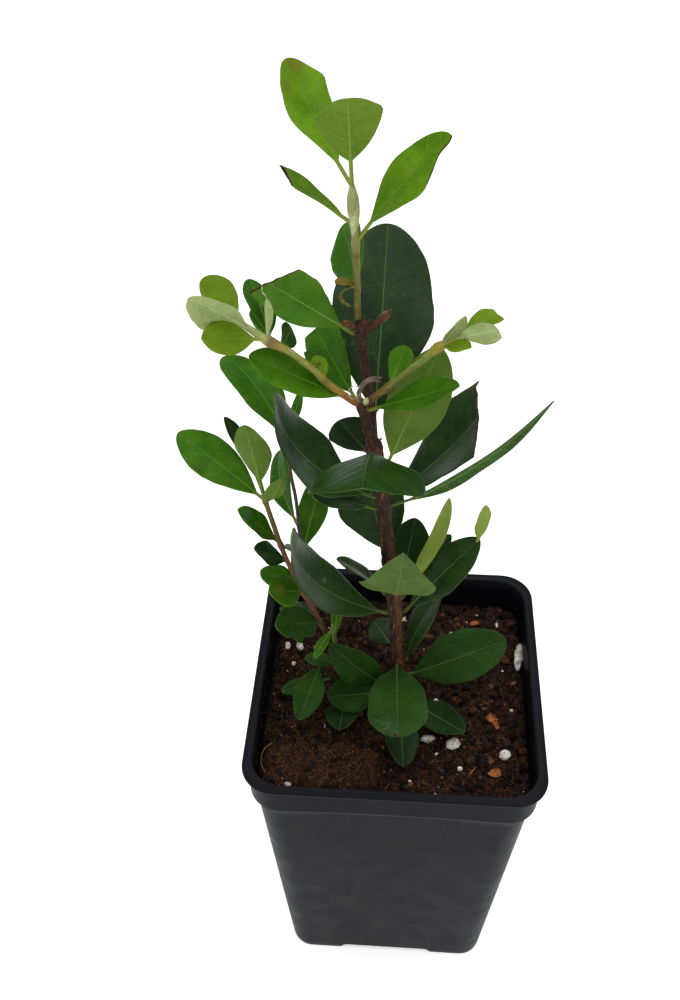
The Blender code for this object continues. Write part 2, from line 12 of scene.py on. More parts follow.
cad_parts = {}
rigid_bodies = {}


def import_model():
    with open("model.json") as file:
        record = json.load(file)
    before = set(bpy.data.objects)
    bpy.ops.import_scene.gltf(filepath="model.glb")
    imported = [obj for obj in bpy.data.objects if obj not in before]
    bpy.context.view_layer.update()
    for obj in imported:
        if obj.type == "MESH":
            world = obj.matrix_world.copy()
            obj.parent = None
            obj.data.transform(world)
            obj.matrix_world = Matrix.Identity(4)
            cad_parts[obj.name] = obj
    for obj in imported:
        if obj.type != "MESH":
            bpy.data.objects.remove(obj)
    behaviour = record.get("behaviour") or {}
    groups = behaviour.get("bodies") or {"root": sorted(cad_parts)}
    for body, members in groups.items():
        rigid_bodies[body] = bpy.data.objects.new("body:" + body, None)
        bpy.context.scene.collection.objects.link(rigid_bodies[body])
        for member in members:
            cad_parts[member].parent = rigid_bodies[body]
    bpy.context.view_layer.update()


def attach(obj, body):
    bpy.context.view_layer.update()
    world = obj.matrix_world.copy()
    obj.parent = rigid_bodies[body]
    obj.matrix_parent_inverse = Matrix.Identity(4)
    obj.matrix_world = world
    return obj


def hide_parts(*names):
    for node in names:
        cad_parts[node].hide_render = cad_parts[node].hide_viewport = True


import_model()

mm = 0.001
rootBody = "root"


# camera, floor and light

view = {
    "aim": (-17.4, 0.0, 193.5),
    "azimuth": 4.10,
    "elevation": 42.98,
    "distance": 279.43,
    "roll": -0.58,
    "lens": 37.7,
    "sensor": 36.0,
}

studio = {
    "floorSize": 6.0,
    "floorColour": (0.92, 0.92, 0.92),
    "floorGlow": 0.45,
    "skyColour": (0.95, 0.98, 1.0),
    "skyStrength": 0.27,
    "suns": (  # azimuth and height it shines from, strength, width in degrees, colour
        (180.0, 80.0, 1.9, 60.0, (0.97, 0.99, 1.0)), (-32.0, 42.0, 1.05, 90.0, (1.0, 0.99, 0.96)),
        (75.0, 50.0, 0.45, 50.0, (1.0, 1.0, 1.0)),
    ),
}


def direction(azimuth, height):
    azimuth, height = math.radians(azimuth), math.radians(height)
    return Vector((math.sin(azimuth) * math.cos(height), -math.cos(azimuth) * math.cos(height),
                   math.sin(height)))


def addCamera():
    back = direction(view["azimuth"], view["elevation"])
    level = (-back).cross(Vector((0, 0, 1))).normalized()
    above = level.cross(-back)
    roll = math.radians(view["roll"])
    right = level * math.cos(roll) + above * math.sin(roll)
    up = above * math.cos(roll) - level * math.sin(roll)
    made = bpy.data.objects.new("camera", bpy.data.cameras.new("camera"))
    bpy.context.scene.collection.objects.link(made)
    made.data.lens, made.data.sensor_width = view["lens"], view["sensor"]
    made.data.clip_start, made.data.clip_end = 0.01, 20
    turn = Matrix((right, up, back)).transposed().to_4x4()
    place = (Vector(view["aim"]) + back * view["distance"]) * mm
    made.matrix_world = Matrix.Translation(place) @ turn
    bpy.context.scene.camera = made


def addStudio(finish):
    mesh = bpy.data.meshes.new("floor")
    half = studio["floorSize"] / 2
    mesh.from_pydata([(-half, -half, 0), (half, -half, 0), (half, half, 0), (-half, half, 0)], [],
                     [(0, 1, 2, 3)])
    mesh.materials.append(finish)
    floor = bpy.data.objects.new("floor", mesh)
    bpy.context.scene.collection.objects.link(floor)
    world = bpy.data.worlds.new("studio air")
    bpy.context.scene.world = world
    world.use_nodes = True
    air = world.node_tree.nodes["Background"]
    air.inputs["Color"].default_value = (*studio["skyColour"], 1)
    air.inputs["Strength"].default_value = studio["skyStrength"]
    for number, (azimuth, height, strength, width, tint) in enumerate(studio["suns"]):
        lamp = bpy.data.lights.new(f"softLight{number}", "SUN")
        lamp.energy, lamp.angle, lamp.color = strength, math.radians(width), tint
        made = bpy.data.objects.new(lamp.name, lamp)
        made.rotation_mode = "QUATERNION"
        made.rotation_quaternion = direction(azimuth, height).to_track_quat("Z", "Y")
        bpy.context.scene.collection.objects.link(made)
    bpy.context.scene.view_settings.view_transform = "Standard"


# finishes

def colour(red, green, blue):  # an ordinary screen colour, 0 to 255, as the shader wants it
    return tuple(((x / 255 + 0.055) / 1.055) ** 2.4 if x > 10 else x / 255 / 12.92
                 for x in (red, green, blue))


class Wire:
    def __init__(self, finish, socket):
        self.finish, self.socket = finish, socket

    def maths(self, operation, first, second=0.0):
        return self.finish.node("ShaderNodeMath", {"operation": operation}, {0: first, 1: second})

    def __add__(self, other):
        return self.maths("ADD", self, other)

    def __radd__(self, other):
        return self.maths("ADD", other, self)

    def __sub__(self, other):
        return self.maths("SUBTRACT", self, other)

    def __rsub__(self, other):
        return self.maths("SUBTRACT", other, self)

    def __mul__(self, other):
        return self.maths("MULTIPLY", self, other)

    def __rmul__(self, other):
        return self.maths("MULTIPLY", other, self)

    def __truediv__(self, other):
        return self.maths("DIVIDE", self, other)

    def __rtruediv__(self, other):
        return self.maths("DIVIDE", other, self)

    def __abs__(self):
        return self.maths("ABSOLUTE", self)


class Finish:
    def __init__(self, name, **fixed):  # fixed: what is the same all over the surface
        self.material = bpy.data.materials.new(name)
        self.material.use_nodes = True
        self.tree = self.material.node_tree
        self.shader = self.tree.nodes["Principled BSDF"]
        for socket, value in fixed.items():
            self.shader.inputs[socket.replace("_", " ")].default_value = value

    def node(self, kind, settings=None, values=None, output=0):
        made = self.tree.nodes.new(kind)
        for name, value in (settings or {}).items():
            if name == "stops":
                ramp = made.color_ramp.elements
                while len(ramp) < len(value):
                    ramp.new(0.5)
                for stop, (place, shade) in zip(ramp, value):
                    stop.position, stop.color = place, (*shade, 1)
            else:
                setattr(made, name, value)
        for name, value in (values or {}).items():
            socket = made.inputs[name]
            if isinstance(value, Wire):
                self.tree.links.new(value.socket, socket)
            elif socket.type == "RGBA" and len(value) == 3:
                socket.default_value = (*value, 1)
            else:
                socket.default_value = value
        return Wire(self, made.outputs[output])

    def attribute(self, name, output="Fac"):
        return self.node("ShaderNodeAttribute", {"attribute_name": name}, None, output)

    def place(self):
        return self.node("ShaderNodeTexCoord", None, None, "Object")

    def stretched(self, vector, scale):
        return self.node("ShaderNodeVectorMath", {"operation": "MULTIPLY"}, {0: vector, 1: scale})

    def joined(self, x, y, z=0.0):
        return self.node("ShaderNodeCombineXYZ", None, {"X": x, "Y": y, "Z": z})

    def grain(self, vector, scale, detail=3.0, rough=0.55):
        return self.node("ShaderNodeTexNoise", None,
                         {"Vector": vector, "Scale": scale, "Detail": detail, "Roughness": rough})

    def cells(self, vector, scale, feature="DISTANCE_TO_EDGE", output="Distance"):
        return self.node("ShaderNodeTexVoronoi", {"feature": feature}, {"Vector": vector, "Scale": scale},
                         output)

    def step(self, value, low, high):  # 0 below low and 1 above high, soft in between
        return self.node("ShaderNodeMapRange", {"interpolation_type": "SMOOTHSTEP"},
                         {"Value": value, "From Min": low, "From Max": high})

    def ramp(self, value, *stops):
        return self.node("ShaderNodeValToRGB", {"stops": stops}, {"Fac": value})

    def mix(self, share, first, second):
        return self.node("ShaderNodeMix", {"data_type": "RGBA", "clamp_factor": True},
                         {"Factor": share, 6: first, 7: second}, 2)

    def bump(self, height, distance, strength=1.0):
        return self.node("ShaderNodeBump", None,
                         {"Height": height, "Distance": distance, "Strength": strength})

    def feed(self, **wires):
        for socket, wire in wires.items():
            self.tree.links.new(wire.socket, self.shader.inputs[socket.replace("_", " ")])
        return self.material


def floorLook():
    made = Finish("pale floor", Roughness=0.9, Base_Color=(*studio["floorColour"], 1),
                  Emission_Color=(1, 1, 1, 1), Emission_Strength=studio["floorGlow"])
    return made.material


# upper: dark and light shade of the upper face, under: of the lower, rib: midrib, vein: side veins
leafLooks = {
    "dark": {
        "upper": (colour(18, 40, 10), colour(38, 66, 22)), "under": (colour(70, 92, 38), colour(94, 116, 58)),
        "rib": colour(96, 124, 58), "vein": colour(56, 88, 38), "stalk": colour(84, 100, 40),
        "roughness": 0.4, "wool": 0.0, "ribStrength": 0.6, "veinStrength": 0.1, "shine": 0.2, "relief": 0.45,
    },
    "green": {
        "upper": (colour(24, 52, 10), colour(40, 72, 18)), "under": (colour(70, 94, 36), colour(92, 116, 54)),
        "rib": colour(92, 124, 56), "vein": colour(64, 104, 42), "stalk": colour(92, 112, 44),
        "roughness": 0.42, "wool": 0.0, "ribStrength": 0.5, "veinStrength": 0.22,
    },
    "mid": {
        "upper": (colour(42, 88, 6), colour(72, 116, 26)),
        "under": (colour(74, 100, 30), colour(94, 118, 48)),
        "rib": colour(118, 146, 64), "vein": colour(88, 130, 42), "stalk": colour(112, 130, 50),
        "roughness": 0.46, "wool": 0.0, "ribStrength": 0.85, "veinStrength": 0.25,
    },
    "bright": {
        "upper": (colour(72, 112, 4), colour(106, 146, 22)),
        "under": (colour(86, 114, 26), colour(108, 136, 44)),
        "rib": colour(128, 158, 66), "vein": colour(120, 158, 50), "stalk": colour(124, 138, 54),
        "roughness": 0.5, "wool": 0.1, "ribStrength": 0.5, "veinStrength": 0.3,
    },
    "fresh": {
        "upper": (colour(42, 88, 2), colour(72, 118, 12)),
        "under": (colour(86, 114, 26), colour(104, 132, 44)),
        "rib": colour(112, 150, 54), "vein": colour(86, 134, 34), "stalk": colour(120, 134, 52),
        "roughness": 0.48, "wool": 0.05, "ribStrength": 0.55, "veinStrength": 0.25,
    },
    "lime": {
        "upper": (colour(92, 122, 14), colour(124, 150, 36)),
        "under": (colour(126, 146, 62), colour(150, 168, 92)),
        "rib": colour(140, 160, 74), "vein": colour(120, 146, 48), "stalk": colour(150, 146, 62),
        "roughness": 0.58, "wool": 0.2, "ribStrength": 0.4, "veinStrength": 0.25,
    },
    "woolly": {
        "upper": (colour(116, 142, 62), colour(140, 160, 86)),
        "under": (colour(136, 152, 86), colour(172, 184, 126)),
        "rib": colour(190, 200, 150), "vein": colour(172, 184, 128), "stalk": colour(158, 162, 98),
        "roughness": 0.8, "wool": 0.7, "ribStrength": 0.7, "veinStrength": 0.3,
    },
    # the long leaf: the dark look with its lower face darkened, painted shade on the lower face
    "long": {
        "upper": (colour(18, 40, 10), colour(38, 66, 22)), "under": (colour(32, 62, 18), colour(62, 96, 38)),
        "rib": colour(112, 142, 78), "vein": colour(56, 88, 38), "stalk": colour(84, 100, 40),
        "roughness": 0.42, "wool": 0.0, "ribStrength": 0.6, "veinStrength": 0.1, "relief": 0.45,
    },
    "dry": {
        "upper": (colour(104, 92, 30), colour(138, 124, 48)),
        "under": (colour(70, 54, 26), colour(110, 90, 44)),
        "rib": colour(120, 96, 50), "vein": colour(100, 80, 40), "stalk": colour(84, 54, 34),
        "roughness": 0.75, "wool": 0.0, "ribStrength": 0.4, "veinStrength": 0.2,
    },
}

veins = {
    "pitch": 3.6,  # between side veins along the midrib
    "lean": 0.72,  # how far they run forward for each millimetre outwards
    "curve": 0.016,
    "ribWidth": 0.3,
    "sideWidth": 0.11,
    "netPitch": 0.95,
    "scorch": colour(62, 40, 26),
    "stain": colour(116, 104, 34),
    # painted sheen: pale bluish colour laid on the upper face where a glossy leaf shows a reflection
    "bloom": colour(104, 124, 108),
    "dust": colour(150, 160, 134),
}
# noise scales of a leaf, in cells per metre
leafGrain = {"broad": 75, "patch": 230, "relief": 420, "ragged": 800, "dust": 1900, "speck": 2600}


def leafFinish(name, look):
    made = Finish(f"{name} leaf", IOR=1.4, Specular_IOR_Level=look.get("shine", 0.12))
    across, span, share = made.attribute("across"), made.attribute("span"), made.attribute("share")
    reach, tone, stalky = made.attribute("reach"), made.attribute("tone"), made.attribute("stalky")
    top = made.step(made.attribute("face"), -0.4, 0.4)
    away = abs(across) * span
    ribHalf = veins["ribWidth"] * (1.1 - 0.85 * share)
    middle = 1 - made.step(away, ribHalf * 0.4, ribHalf)
    # side veins: counted along the leaf, leaning forward away from the midrib, staggered left and right
    stagger = across.maths("SIGN", across) * 0.21
    wobble = (made.grain(made.joined(reach, away, tone * 9), 0.22, 2) - 0.5) * 2.4
    run = (reach - away * veins["lean"] + away * away * veins["curve"]
           + wobble) / veins["pitch"] + stagger + tone * 3
    gap = abs(run.maths("FRACT", run) - 0.5)
    sideVein = 1 - made.step(gap * veins["pitch"], veins["sideWidth"] * 0.3, veins["sideWidth"] * 1.6)
    sideVein = sideVein * (1 - made.step(abs(across), 0.6, 0.95)) * (1 - stalky)
    net = made.cells(made.joined(reach, across * span, tone * 5), 1 / veins["netPitch"])
    netVein = (1 - made.step(net, 0.02, 0.12)) * (1 - stalky)
    place = made.place()
    broad = made.grain(place, leafGrain["broad"], 3)
    patch = made.grain(place, leafGrain["patch"], 4)
    speck = made.grain(place, leafGrain["speck"], 2)
    lightness = tone * 0.8 + (broad - 0.5) * 1.6 + (patch - 0.5) * 1.7 + (speck - 0.5) * 0.8 + away * 0.02
    dark, light = look["upper"]
    upper = made.mix(lightness, dark, light)
    upper = made.mix(netVein * 0.1 + sideVein * look["veinStrength"], upper, look["vein"])
    upper = made.mix(middle * look["ribStrength"], upper, look["rib"])
    dark, light = look["under"]
    under = made.mix(lightness + (speck - 0.5) * 0.4, dark, light)
    under = made.mix(netVein * 0.16 + sideVein * 0.35, under, look["rib"])
    under = made.mix(middle * 0.75, under, look["rib"])
    surface = made.mix(top, under, upper)
    inward = (1 - abs(across)) * span
    rim = (1 - made.step(inward, 0.06, 0.26)) * (1 - stalky)
    surface = made.mix(rim * 0.3, surface, look["rib"])
    surface = made.mix(stalky, surface, look["stalk"])
    ragged = (made.grain(place, leafGrain["ragged"], 4) - 0.5) * 0.9
    stained = made.step(made.attribute("stain") + ragged * 0.7, 0.2, 0.9)
    surface = made.mix(stained * 0.75, surface, veins["stain"])
    # painted sheen: patches of glossy reflection mixed into the upper face's colour
    paintedSheenMask = made.step(made.attribute("bloom") + ragged * 2.2, 0.3, 1.2) * top
    surface = made.mix(paintedSheenMask * 0.5, surface, veins["bloom"])
    dust = made.step(made.grain(place, leafGrain["dust"], 1), 0.71, 0.77) * made.step(patch, 0.4, 0.6)
    surface = made.mix(dust * 0.28, surface, veins["dust"])
    burnt = made.step(made.attribute("scorch") + ragged, 0.35, 0.75)
    surface = made.mix(burnt, surface, veins["scorch"])
    quilt = 1 - gap * gap * 4
    height = (made.grain(place, leafGrain["relief"], 3) * 0.5 + speck * (0.1 + look["wool"]) + quilt * 0.55
              - (sideVein * 0.5 + netVein * 0.22 + middle * 0.7) * top
              + (sideVein * 0.5 + netVein * 0.3) * (1 - top))
    gloss = look["roughness"] + (patch - 0.5) * 0.35 + burnt * 0.3 + paintedSheenMask * 0.2 + (1 - top) * 0.25
    relief = made.bump(height, 0.00014, look.get("relief", 0.9))
    return made.feed(Base_Color=surface, Roughness=gloss, Normal=relief)


leafFinishes = {name: leafFinish(name, look) for name, look in leafLooks.items()}
print("leaf finishes", len(leafFinishes))


def stemFinish(name, roughness, contrast, pale, relief):
    made = Finish(name, Specular_IOR_Level=0.35)
    base, run = made.attribute("shade", "Color"), made.attribute("grain", "Vector")
    long = made.grain(made.stretched(run, (1.0, 1.0, 0.14)), 1.7, 5, 0.7)
    fine = made.grain(made.stretched(run, (1.0, 1.0, 0.3)), 8.0, 3)
    crack = 1 - made.step(abs(long - 0.5), 0.0, 0.06)
    ridge = made.step(long, 0.42, 0.7)
    lit = made.mix(ridge * contrast * 0.8 + (fine - 0.5) * 0.5, base, pale)
    surface = made.mix(crack * contrast, lit, (0.008, 0.005, 0.004))
    height = long * 0.9 + fine * 0.3 - crack * 0.5
    gloss = roughness + (fine - 0.5) * 0.25
    return made.feed(Base_Color=surface, Roughness=gloss, Normal=made.bump(height, relief))


barkFinish = stemFinish("bark", 0.85, 0.75, colour(100, 66, 38), 0.0005)
shootFinish = stemFinish("green shoot", 0.6, 0.12, colour(160, 156, 88), 0.0001)
woolFinish = stemFinish("woolly shoot", 0.85, 0.14, colour(190, 190, 134), 0.00016)


def plasticFinish():
    made = Finish("black plastic", IOR=1.46, Specular_IOR_Level=0.055)
    place = made.place()
    cloud, patch = made.grain(place, 30, 4), made.grain(place, 130, 4)
    pebble = made.cells(place, 1500, "F1")
    grit = made.step(made.grain(place, 1500, 2), 0.66, 0.78)
    smear = made.step(made.grain(made.stretched(place, (1, 1, 0.2)), 170, 5), 0.55, 0.8)
    base = made.mix(made.step(cloud * 0.6 + patch * 0.4, 0.35, 0.65), colour(10, 10, 14), colour(17, 17, 23))
    base = made.mix(grit * 0.22 + smear * 0.04, base, colour(70, 70, 76))
    # rubbed wear and painted highlight: pale grey where the mark is high; the bright line along the ledge is
    # a painted highlight, the foot edge and lip get fainter marks of wear
    base = made.mix(made.attribute("wear") * (0.5 + patch * 0.5), base, colour(96, 96, 100))
    gloss = 0.42 + (patch - 0.5) * 0.3 + grit * 0.2 + smear * 0.1
    height = pebble * 0.6 + made.grain(place, 420, 3) * 0.4 + grit * 0.3
    return made.feed(Base_Color=base, Roughness=gloss, Normal=made.bump(height, 0.00007, 0.5))


def soilFinish():
    made = Finish("potting soil", Roughness=0.95, Specular_IOR_Level=0.2)
    place = made.place()
    clod, crumb = made.grain(place, 240, 5, 0.7), made.grain(place, 1300, 4, 0.65)
    fibre = made.step(made.grain(made.stretched(place, (1, 0.22, 1)), 1500, 3), 0.56, 0.72)
    cross = made.step(made.grain(made.stretched(place, (0.22, 1, 1)), 1700, 3), 0.58, 0.74)
    base = made.ramp(clod * 0.65 + crumb * 0.45, (0.38, colour(9, 5, 5)), (0.52, colour(30, 17, 13)),
                     (0.64, colour(60, 36, 25)), (0.78, colour(98, 62, 42)))
    base = made.mix((fibre + cross) * 0.35, base, colour(112, 74, 48))
    base = made.mix(made.attribute("loam") * made.step(crumb, 0.42, 0.62) * 0.7, base, colour(68, 44, 31))
    # painted shade: near black laid into the hollows between the lumps
    base = made.mix(made.attribute("pit"), base, colour(5, 3, 3))
    height = clod * 0.6 + crumb * 0.6 + fibre * 0.25 + cross * 0.25
    return made.feed(Base_Color=base, Normal=made.bump(height, 0.0008))


def crumbLook(name, scale, *stops):  # small pieces, each with a tone of its own
    made = Finish(name, Roughness=0.93, Specular_IOR_Level=0.2)
    place = made.place()
    fine = made.grain(place, scale, 3)
    base = made.ramp(made.attribute("tone") + (fine - 0.5) * 0.5, *stops)
    return made.feed(Base_Color=base, Normal=made.bump(fine, 0.0003))


def speckFinish(name, dark, light, scale, roughness, relief):
    made = Finish(name, Roughness=roughness, Specular_IOR_Level=0.3)
    place = made.place()
    patch, fine = made.grain(place, scale, 4), made.grain(place, scale * 5, 2)
    base = made.mix(made.step(patch * 0.75 + fine * 0.3, 0.38, 0.68), dark, light)
    return made.feed(Base_Color=base, Normal=made.bump(patch + fine * 0.5, relief))


potFinish, groundFinish = plasticFinish(), soilFinish()
fibreFinish = crumbLook("coir", 700, (0.1, colour(22, 13, 9)), (0.45, colour(72, 46, 30)),
                        (0.75, colour(128, 88, 56)), (1.0, colour(172, 130, 88)))
crumbFinish = crumbLook("peat crumb", 900, (0.1, colour(8, 5, 4)), (0.4, colour(34, 20, 14)),
                        (0.7, colour(82, 50, 34)), (1.0, colour(142, 96, 64)))
perliteFinish = speckFinish("perlite", colour(168, 154, 140), colour(244, 238, 230), 800, 0.9, 0.0004)
chipFinish = speckFinish("bark chip", colour(96, 46, 16), colour(180, 104, 48), 600, 0.75, 0.0004)
flakeFinish = speckFinish("bark flake", colour(44, 28, 20), colour(124, 84, 56), 900, 0.8, 0.0003)
hairFinish = speckFinish("down", colour(190, 190, 150), colour(226, 224, 196), 500, 0.9, 0.0001)
threadFinish = speckFinish("dry thread", colour(150, 140, 116), colour(206, 200, 180), 700, 0.9, 0.0001)
curlFinish = speckFinish("curled leaf", colour(70, 64, 20), colour(132, 124, 52), 700, 0.75, 0.0003)
budFinish = speckFinish("bud", colour(150, 158, 96), colour(196, 196, 150), 900, 0.8, 0.0002)
print("ground and pot finishes")


# meshes

def addPiece(name, points, faces, finishes, marks=None, slots=None, vectors=None, smooth=True):
    mesh = bpy.data.meshes.new(name)
    mesh.from_pydata((np.asarray(points) * mm).tolist(), [], faces)
    for finish in finishes:
        mesh.materials.append(finish)
    for key, values in (marks or {}).items():
        mesh.attributes.new(key, "FLOAT", "POINT").data.foreach_set("value", np.asarray(values, np.float32))
    for key, values in (vectors or {}).items():
        kind, field = ("FLOAT_COLOR", "color") if key == "shade" else ("FLOAT_VECTOR", "vector")
        layer = mesh.attributes.new(key, kind, "POINT")
        layer.data.foreach_set(field, np.asarray(values, np.float32).ravel())
    if slots is not None:
        mesh.polygons.foreach_set("material_index", slots)
    if smooth:
        mesh.shade_smooth()
    made = bpy.data.objects.new(name, mesh)
    bpy.context.scene.collection.objects.link(made)
    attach(made, rootBody)
    return made


class Heap:  # points, faces and marks of one piece, gathered from several shapes
    def __init__(self):
        self.points, self.faces, self.slots, self.marks, self.count = [], [], [], {}, 0

    def add(self, points, faces, slot=0, **marks):
        self.points.append(np.asarray(points, float))
        self.faces += [tuple(corner + self.count for corner in face) for face in faces]
        self.slots += [slot] * len(faces)
        for key, values in marks.items():
            values = [values] * len(points) if isinstance(values, (int, float)) else values
            self.marks.setdefault(key, []).append(np.asarray(values, float))
        self.count += len(points)

    def piece(self, name, finishes, smooth=True):
        marks = {key: np.concatenate(values) for key, values in self.marks.items()}
        vectors = {key: marks.pop(key) for key in ("shade", "grain") if key in marks}
        return addPiece(name, np.concatenate(self.points), self.faces, finishes, marks, self.slots, vectors,
                        smooth)


def ringFaces(rings, size, first=0, caps=True):
    faces = []
    for ring in range(rings - 1):
        start = first + ring * size
        for place in range(size):
            after = (place + 1) % size
            faces.append((start + place, start + after, start + size + after, start + size + place))
    if caps:
        faces.append(tuple(first + place for place in reversed(range(size))))
        faces.append(tuple(first + (rings - 1) * size + place for place in range(size)))
    return faces


def soft(value, low, high):
    share = np.clip((np.asarray(value, float) - low) / (high - low), 0, 1)
    return share * share * (3 - 2 * share)


def ball(level):
    work = bmesh.new()
    bmesh.ops.create_icosphere(work, subdivisions=level, radius=1.0)
    spots = np.array([tuple(corner.co) for corner in work.verts])
    faces = [tuple(corner.index for corner in face.verts) for face in work.faces]
    work.free()
    return spots, faces


balls = {level: ball(level) for level in (1, 2, 3)}


def stray(draw, spread=1.0):  # a random vector
    return Vector((draw.gauss(0, spread), draw.gauss(0, spread), draw.gauss(0, spread)))


def lump(level, centre, size, shape, draw, rough=0.35, turn=None):
    spots, faces = balls[level]
    shift = Vector((draw.uniform(0, 50), draw.uniform(0, 50), draw.uniform(0, 50)))
    swell = np.array([1 + rough * noise.noise(Vector(spot) * 1.7 + shift)
                      + rough * 0.5 * noise.noise(Vector(spot) * 4.1 + shift) for spot in spots])
    axis = stray(draw)
    spin = Matrix.Rotation(draw.uniform(0, 6.28), 3, axis)
    if turn is not None:
        spin = Matrix.Rotation(math.radians(turn), 3, "Z")
    return (spots * swell[:, None] * np.array(shape) * size) @ np.array(spin).T + np.array(centre), faces


def strand(points, radii, sides=3):
    points = [Vector(point) for point in points]
    ring, across = [], None
    for number, spot in enumerate(points):
        aim = (points[min(number + 1, len(points) - 1)] - points[max(number - 1, 0)]).normalized()
        across = (aim.orthogonal() if across is None else across - across.dot(aim) * aim).normalized()
        other = aim.cross(across)
        for side in range(sides):
            angle = 2 * math.pi * side / sides
            ring.append(spot + radii[number] * (across * math.cos(angle) + other * math.sin(angle)))
    return ring, ringFaces(len(points), sides)


# stems

stems = {
    "trunk": (
        (0.3, 0.0, 90.0, 2.0), (0.3, 0.0, 107.8, 2.2), (-0.3, 0.0, 129.0, 2.1), (-1.1, 0.0, 145.6, 2.0),
        (-1.8, 0.0, 154.5, 2.0), (-4.0, 0.0, 173.2, 1.9), (-5.9, 0.0, 194.1, 1.9), (-6.4, 0.0, 200.0, 1.7),
        (-8.4, 0.0, 212.0, 1.9), (-9.2, 0.0, 215.5, 1.6), (-9.8, 1.0, 226.5, 1.1), (-12.0, 1.0, 242.7, 1.1),
        (-12.1, 0.0, 248.4, 1.6), (-12.4, 0.0, 250.0, 1.2),
    ),
    "spur": (
        (-8.8, 0.0, 213.6, 1.3), (-10.6, -2.4, 222.6, 1.2), (-11.8, -4.0, 228.8, 1.5),
        (-11.9, -4.2, 230.4, 1.1),
    ),
    "left stub": ((-12.0, 0.0, 248.2, 1.0), (-16.0, -0.5, 249.6, 0.7)),
    "middle stub": ((-12.3, -0.5, 248.0, 0.9), (-10.9, -1.5, 251.2, 0.7)),
    "right stub": ((-11.8, 0.0, 247.8, 1.0), (-8.6, 0.3, 249.4, 0.9), (-6.0, 0.5, 252.2, 1.0)),
    "dead stub": (
        (-11.7, -3.9, 227.6, 0.7), (-12.3, -5.0, 233.0, 0.6), (-11.1, -5.3, 236.1, 0.6),
        (-9.2, -5.3, 237.5, 0.6), (-7.1, -5.1, 237.3, 0.8),
    ),
    "leader": (
        (-12.9, 0.2, 250.6, 0.72), (-13.1, 0.0, 259.5, 0.76), (-13.3, 0.0, 266.3, 0.82),
        (-13.6, 0.0, 272.8, 0.82), (-13.9, 0.0, 277.5, 1.4), (-14.1, 0.0, 280.6, 1.2),
        (-14.2, 0.0, 283.6, 0.5),
    ),
    "left branch": (
        (-11.8, -4.1, 229.2, 0.9), (-13.7, -4.5, 230.2, 0.9), (-19.2, -4.5, 234.8, 0.9),
        (-23.3, -4.5, 239.3, 0.8), (-28.4, -4.3, 243.8, 0.8), (-33.4, -4.0, 246.5, 1.0),
        (-38.4, -4.0, 250.4, 0.8), (-41.3, -4.0, 252.4, 0.6),
    ),
    "right branch": (
        (-11.4, -4.0, 229.2, 0.9), (-9.9, -4.1, 230.1, 0.9), (-7.3, -4.0, 232.6, 0.8),
        (-5.4, -4.0, 234.1, 1.0), (-2.7, -4.0, 237.2, 0.8), (1.8, -4.0, 241.9, 0.8), (5.5, -4.0, 246.0, 1.0),
        (8.8, -4.0, 248.0, 0.7), (10.9, -4.0, 249.7, 0.6),
    ),
    "side stem": (
        (-14.2, 2.8, 94.0, 0.9), (-14.9, 2.5, 108.0, 0.9), (-18.6, 1.2, 126.3, 0.8), (-23.8, 0.3, 142.8, 0.8),
        (-28.6, 0.0, 156.6, 0.8), (-32.0, 0.0, 167.0, 0.7), (-34.5, 0.0, 177.0, 0.7),
        (-36.5, 0.0, 186.9, 0.7), (-38.0, 0.0, 194.6, 0.6),
    ),
    "thin stem": (
        (-28.6, 0.0, 156.0, 0.6), (-28.4, 1.0, 169.5, 0.6), (-28.9, 1.0, 181.8, 0.5),
        (-29.4, 1.5, 191.5, 0.5), (-30.3, 2.0, 198.2, 0.5), (-30.8, 2.0, 204.5, 0.5),
        (-30.6, 2.0, 210.6, 0.5),
    ),
    "basal stem": (
        (-14.6, -1.6, 96.0, 0.7), (-15.2, -1.4, 108.0, 0.7), (-18.2, -1.2, 124.4, 0.6),
        (-19.4, -1.6, 137.4, 0.6), (-19.9, -2.0, 145.0, 0.5),
    ),
    "twig": ((-15.4, -1.4, 110.0, 0.6), (-20.6, -1.0, 117.4, 0.6), (-24.3, -1.0, 124.8, 0.5)),
}

# colour of each stem up its length: share of the length, screen colour
stemShades = {
    "trunk": ((0, (40, 27, 18)), (0.3, (66, 44, 28)), (0.5, (58, 38, 27)), (0.72, (88, 52, 42)),
              (0.8, (112, 58, 52)), (0.96, (104, 54, 48)), (1, (92, 56, 36))),
    "spur": ((0, (80, 46, 32)), (0.6, (84, 50, 36)), (1, (92, 68, 38))),
    "left stub": ((0, (84, 46, 28)), (1, (168, 108, 64))),
    "middle stub": ((0, (56, 30, 22)), (1, (104, 62, 40))),
    "right stub": ((0, (78, 42, 28)), (0.7, (112, 66, 42)), (1, (164, 112, 80))),
    "dead stub": ((0, (140, 130, 94)), (0.35, (184, 170, 144)), (0.85, (200, 168, 154)), (1, (34, 18, 18))),
    "leader": ((0, (92, 104, 24)), (0.45, (116, 116, 44)), (0.62, (136, 132, 70)), (0.72, (150, 148, 92)),
               (1, (164, 172, 112))),
    "left branch": ((0, (156, 84, 24)), (0.12, (170, 118, 36)), (0.3, (150, 146, 58)), (0.6, (156, 158, 78)),
                    (0.68, (170, 140, 62)), (0.76, (172, 174, 110)), (1, (170, 182, 118))),
    "right branch": ((0, (112, 76, 30)), (0.15, (128, 96, 38)), (0.35, (116, 126, 42)), (0.7, (134, 146, 66)),
                     (0.78, (164, 146, 40)), (1, (150, 164, 96))),
    "side stem": ((0, (36, 24, 18)), (0.4, (52, 32, 26)), (0.62, (122, 66, 54)), (0.8, (132, 78, 54)),
                  (1, (112, 112, 48))),
    "thin stem": ((0, (48, 30, 24)), (0.6, (48, 27, 25)), (1, (92, 78, 38))),
    "basal stem": ((0, (40, 30, 18)), (0.5, (72, 92, 34)), (1, (104, 130, 48))),
    "twig": ((0, (48, 34, 22)), (1, (66, 76, 34))),
}

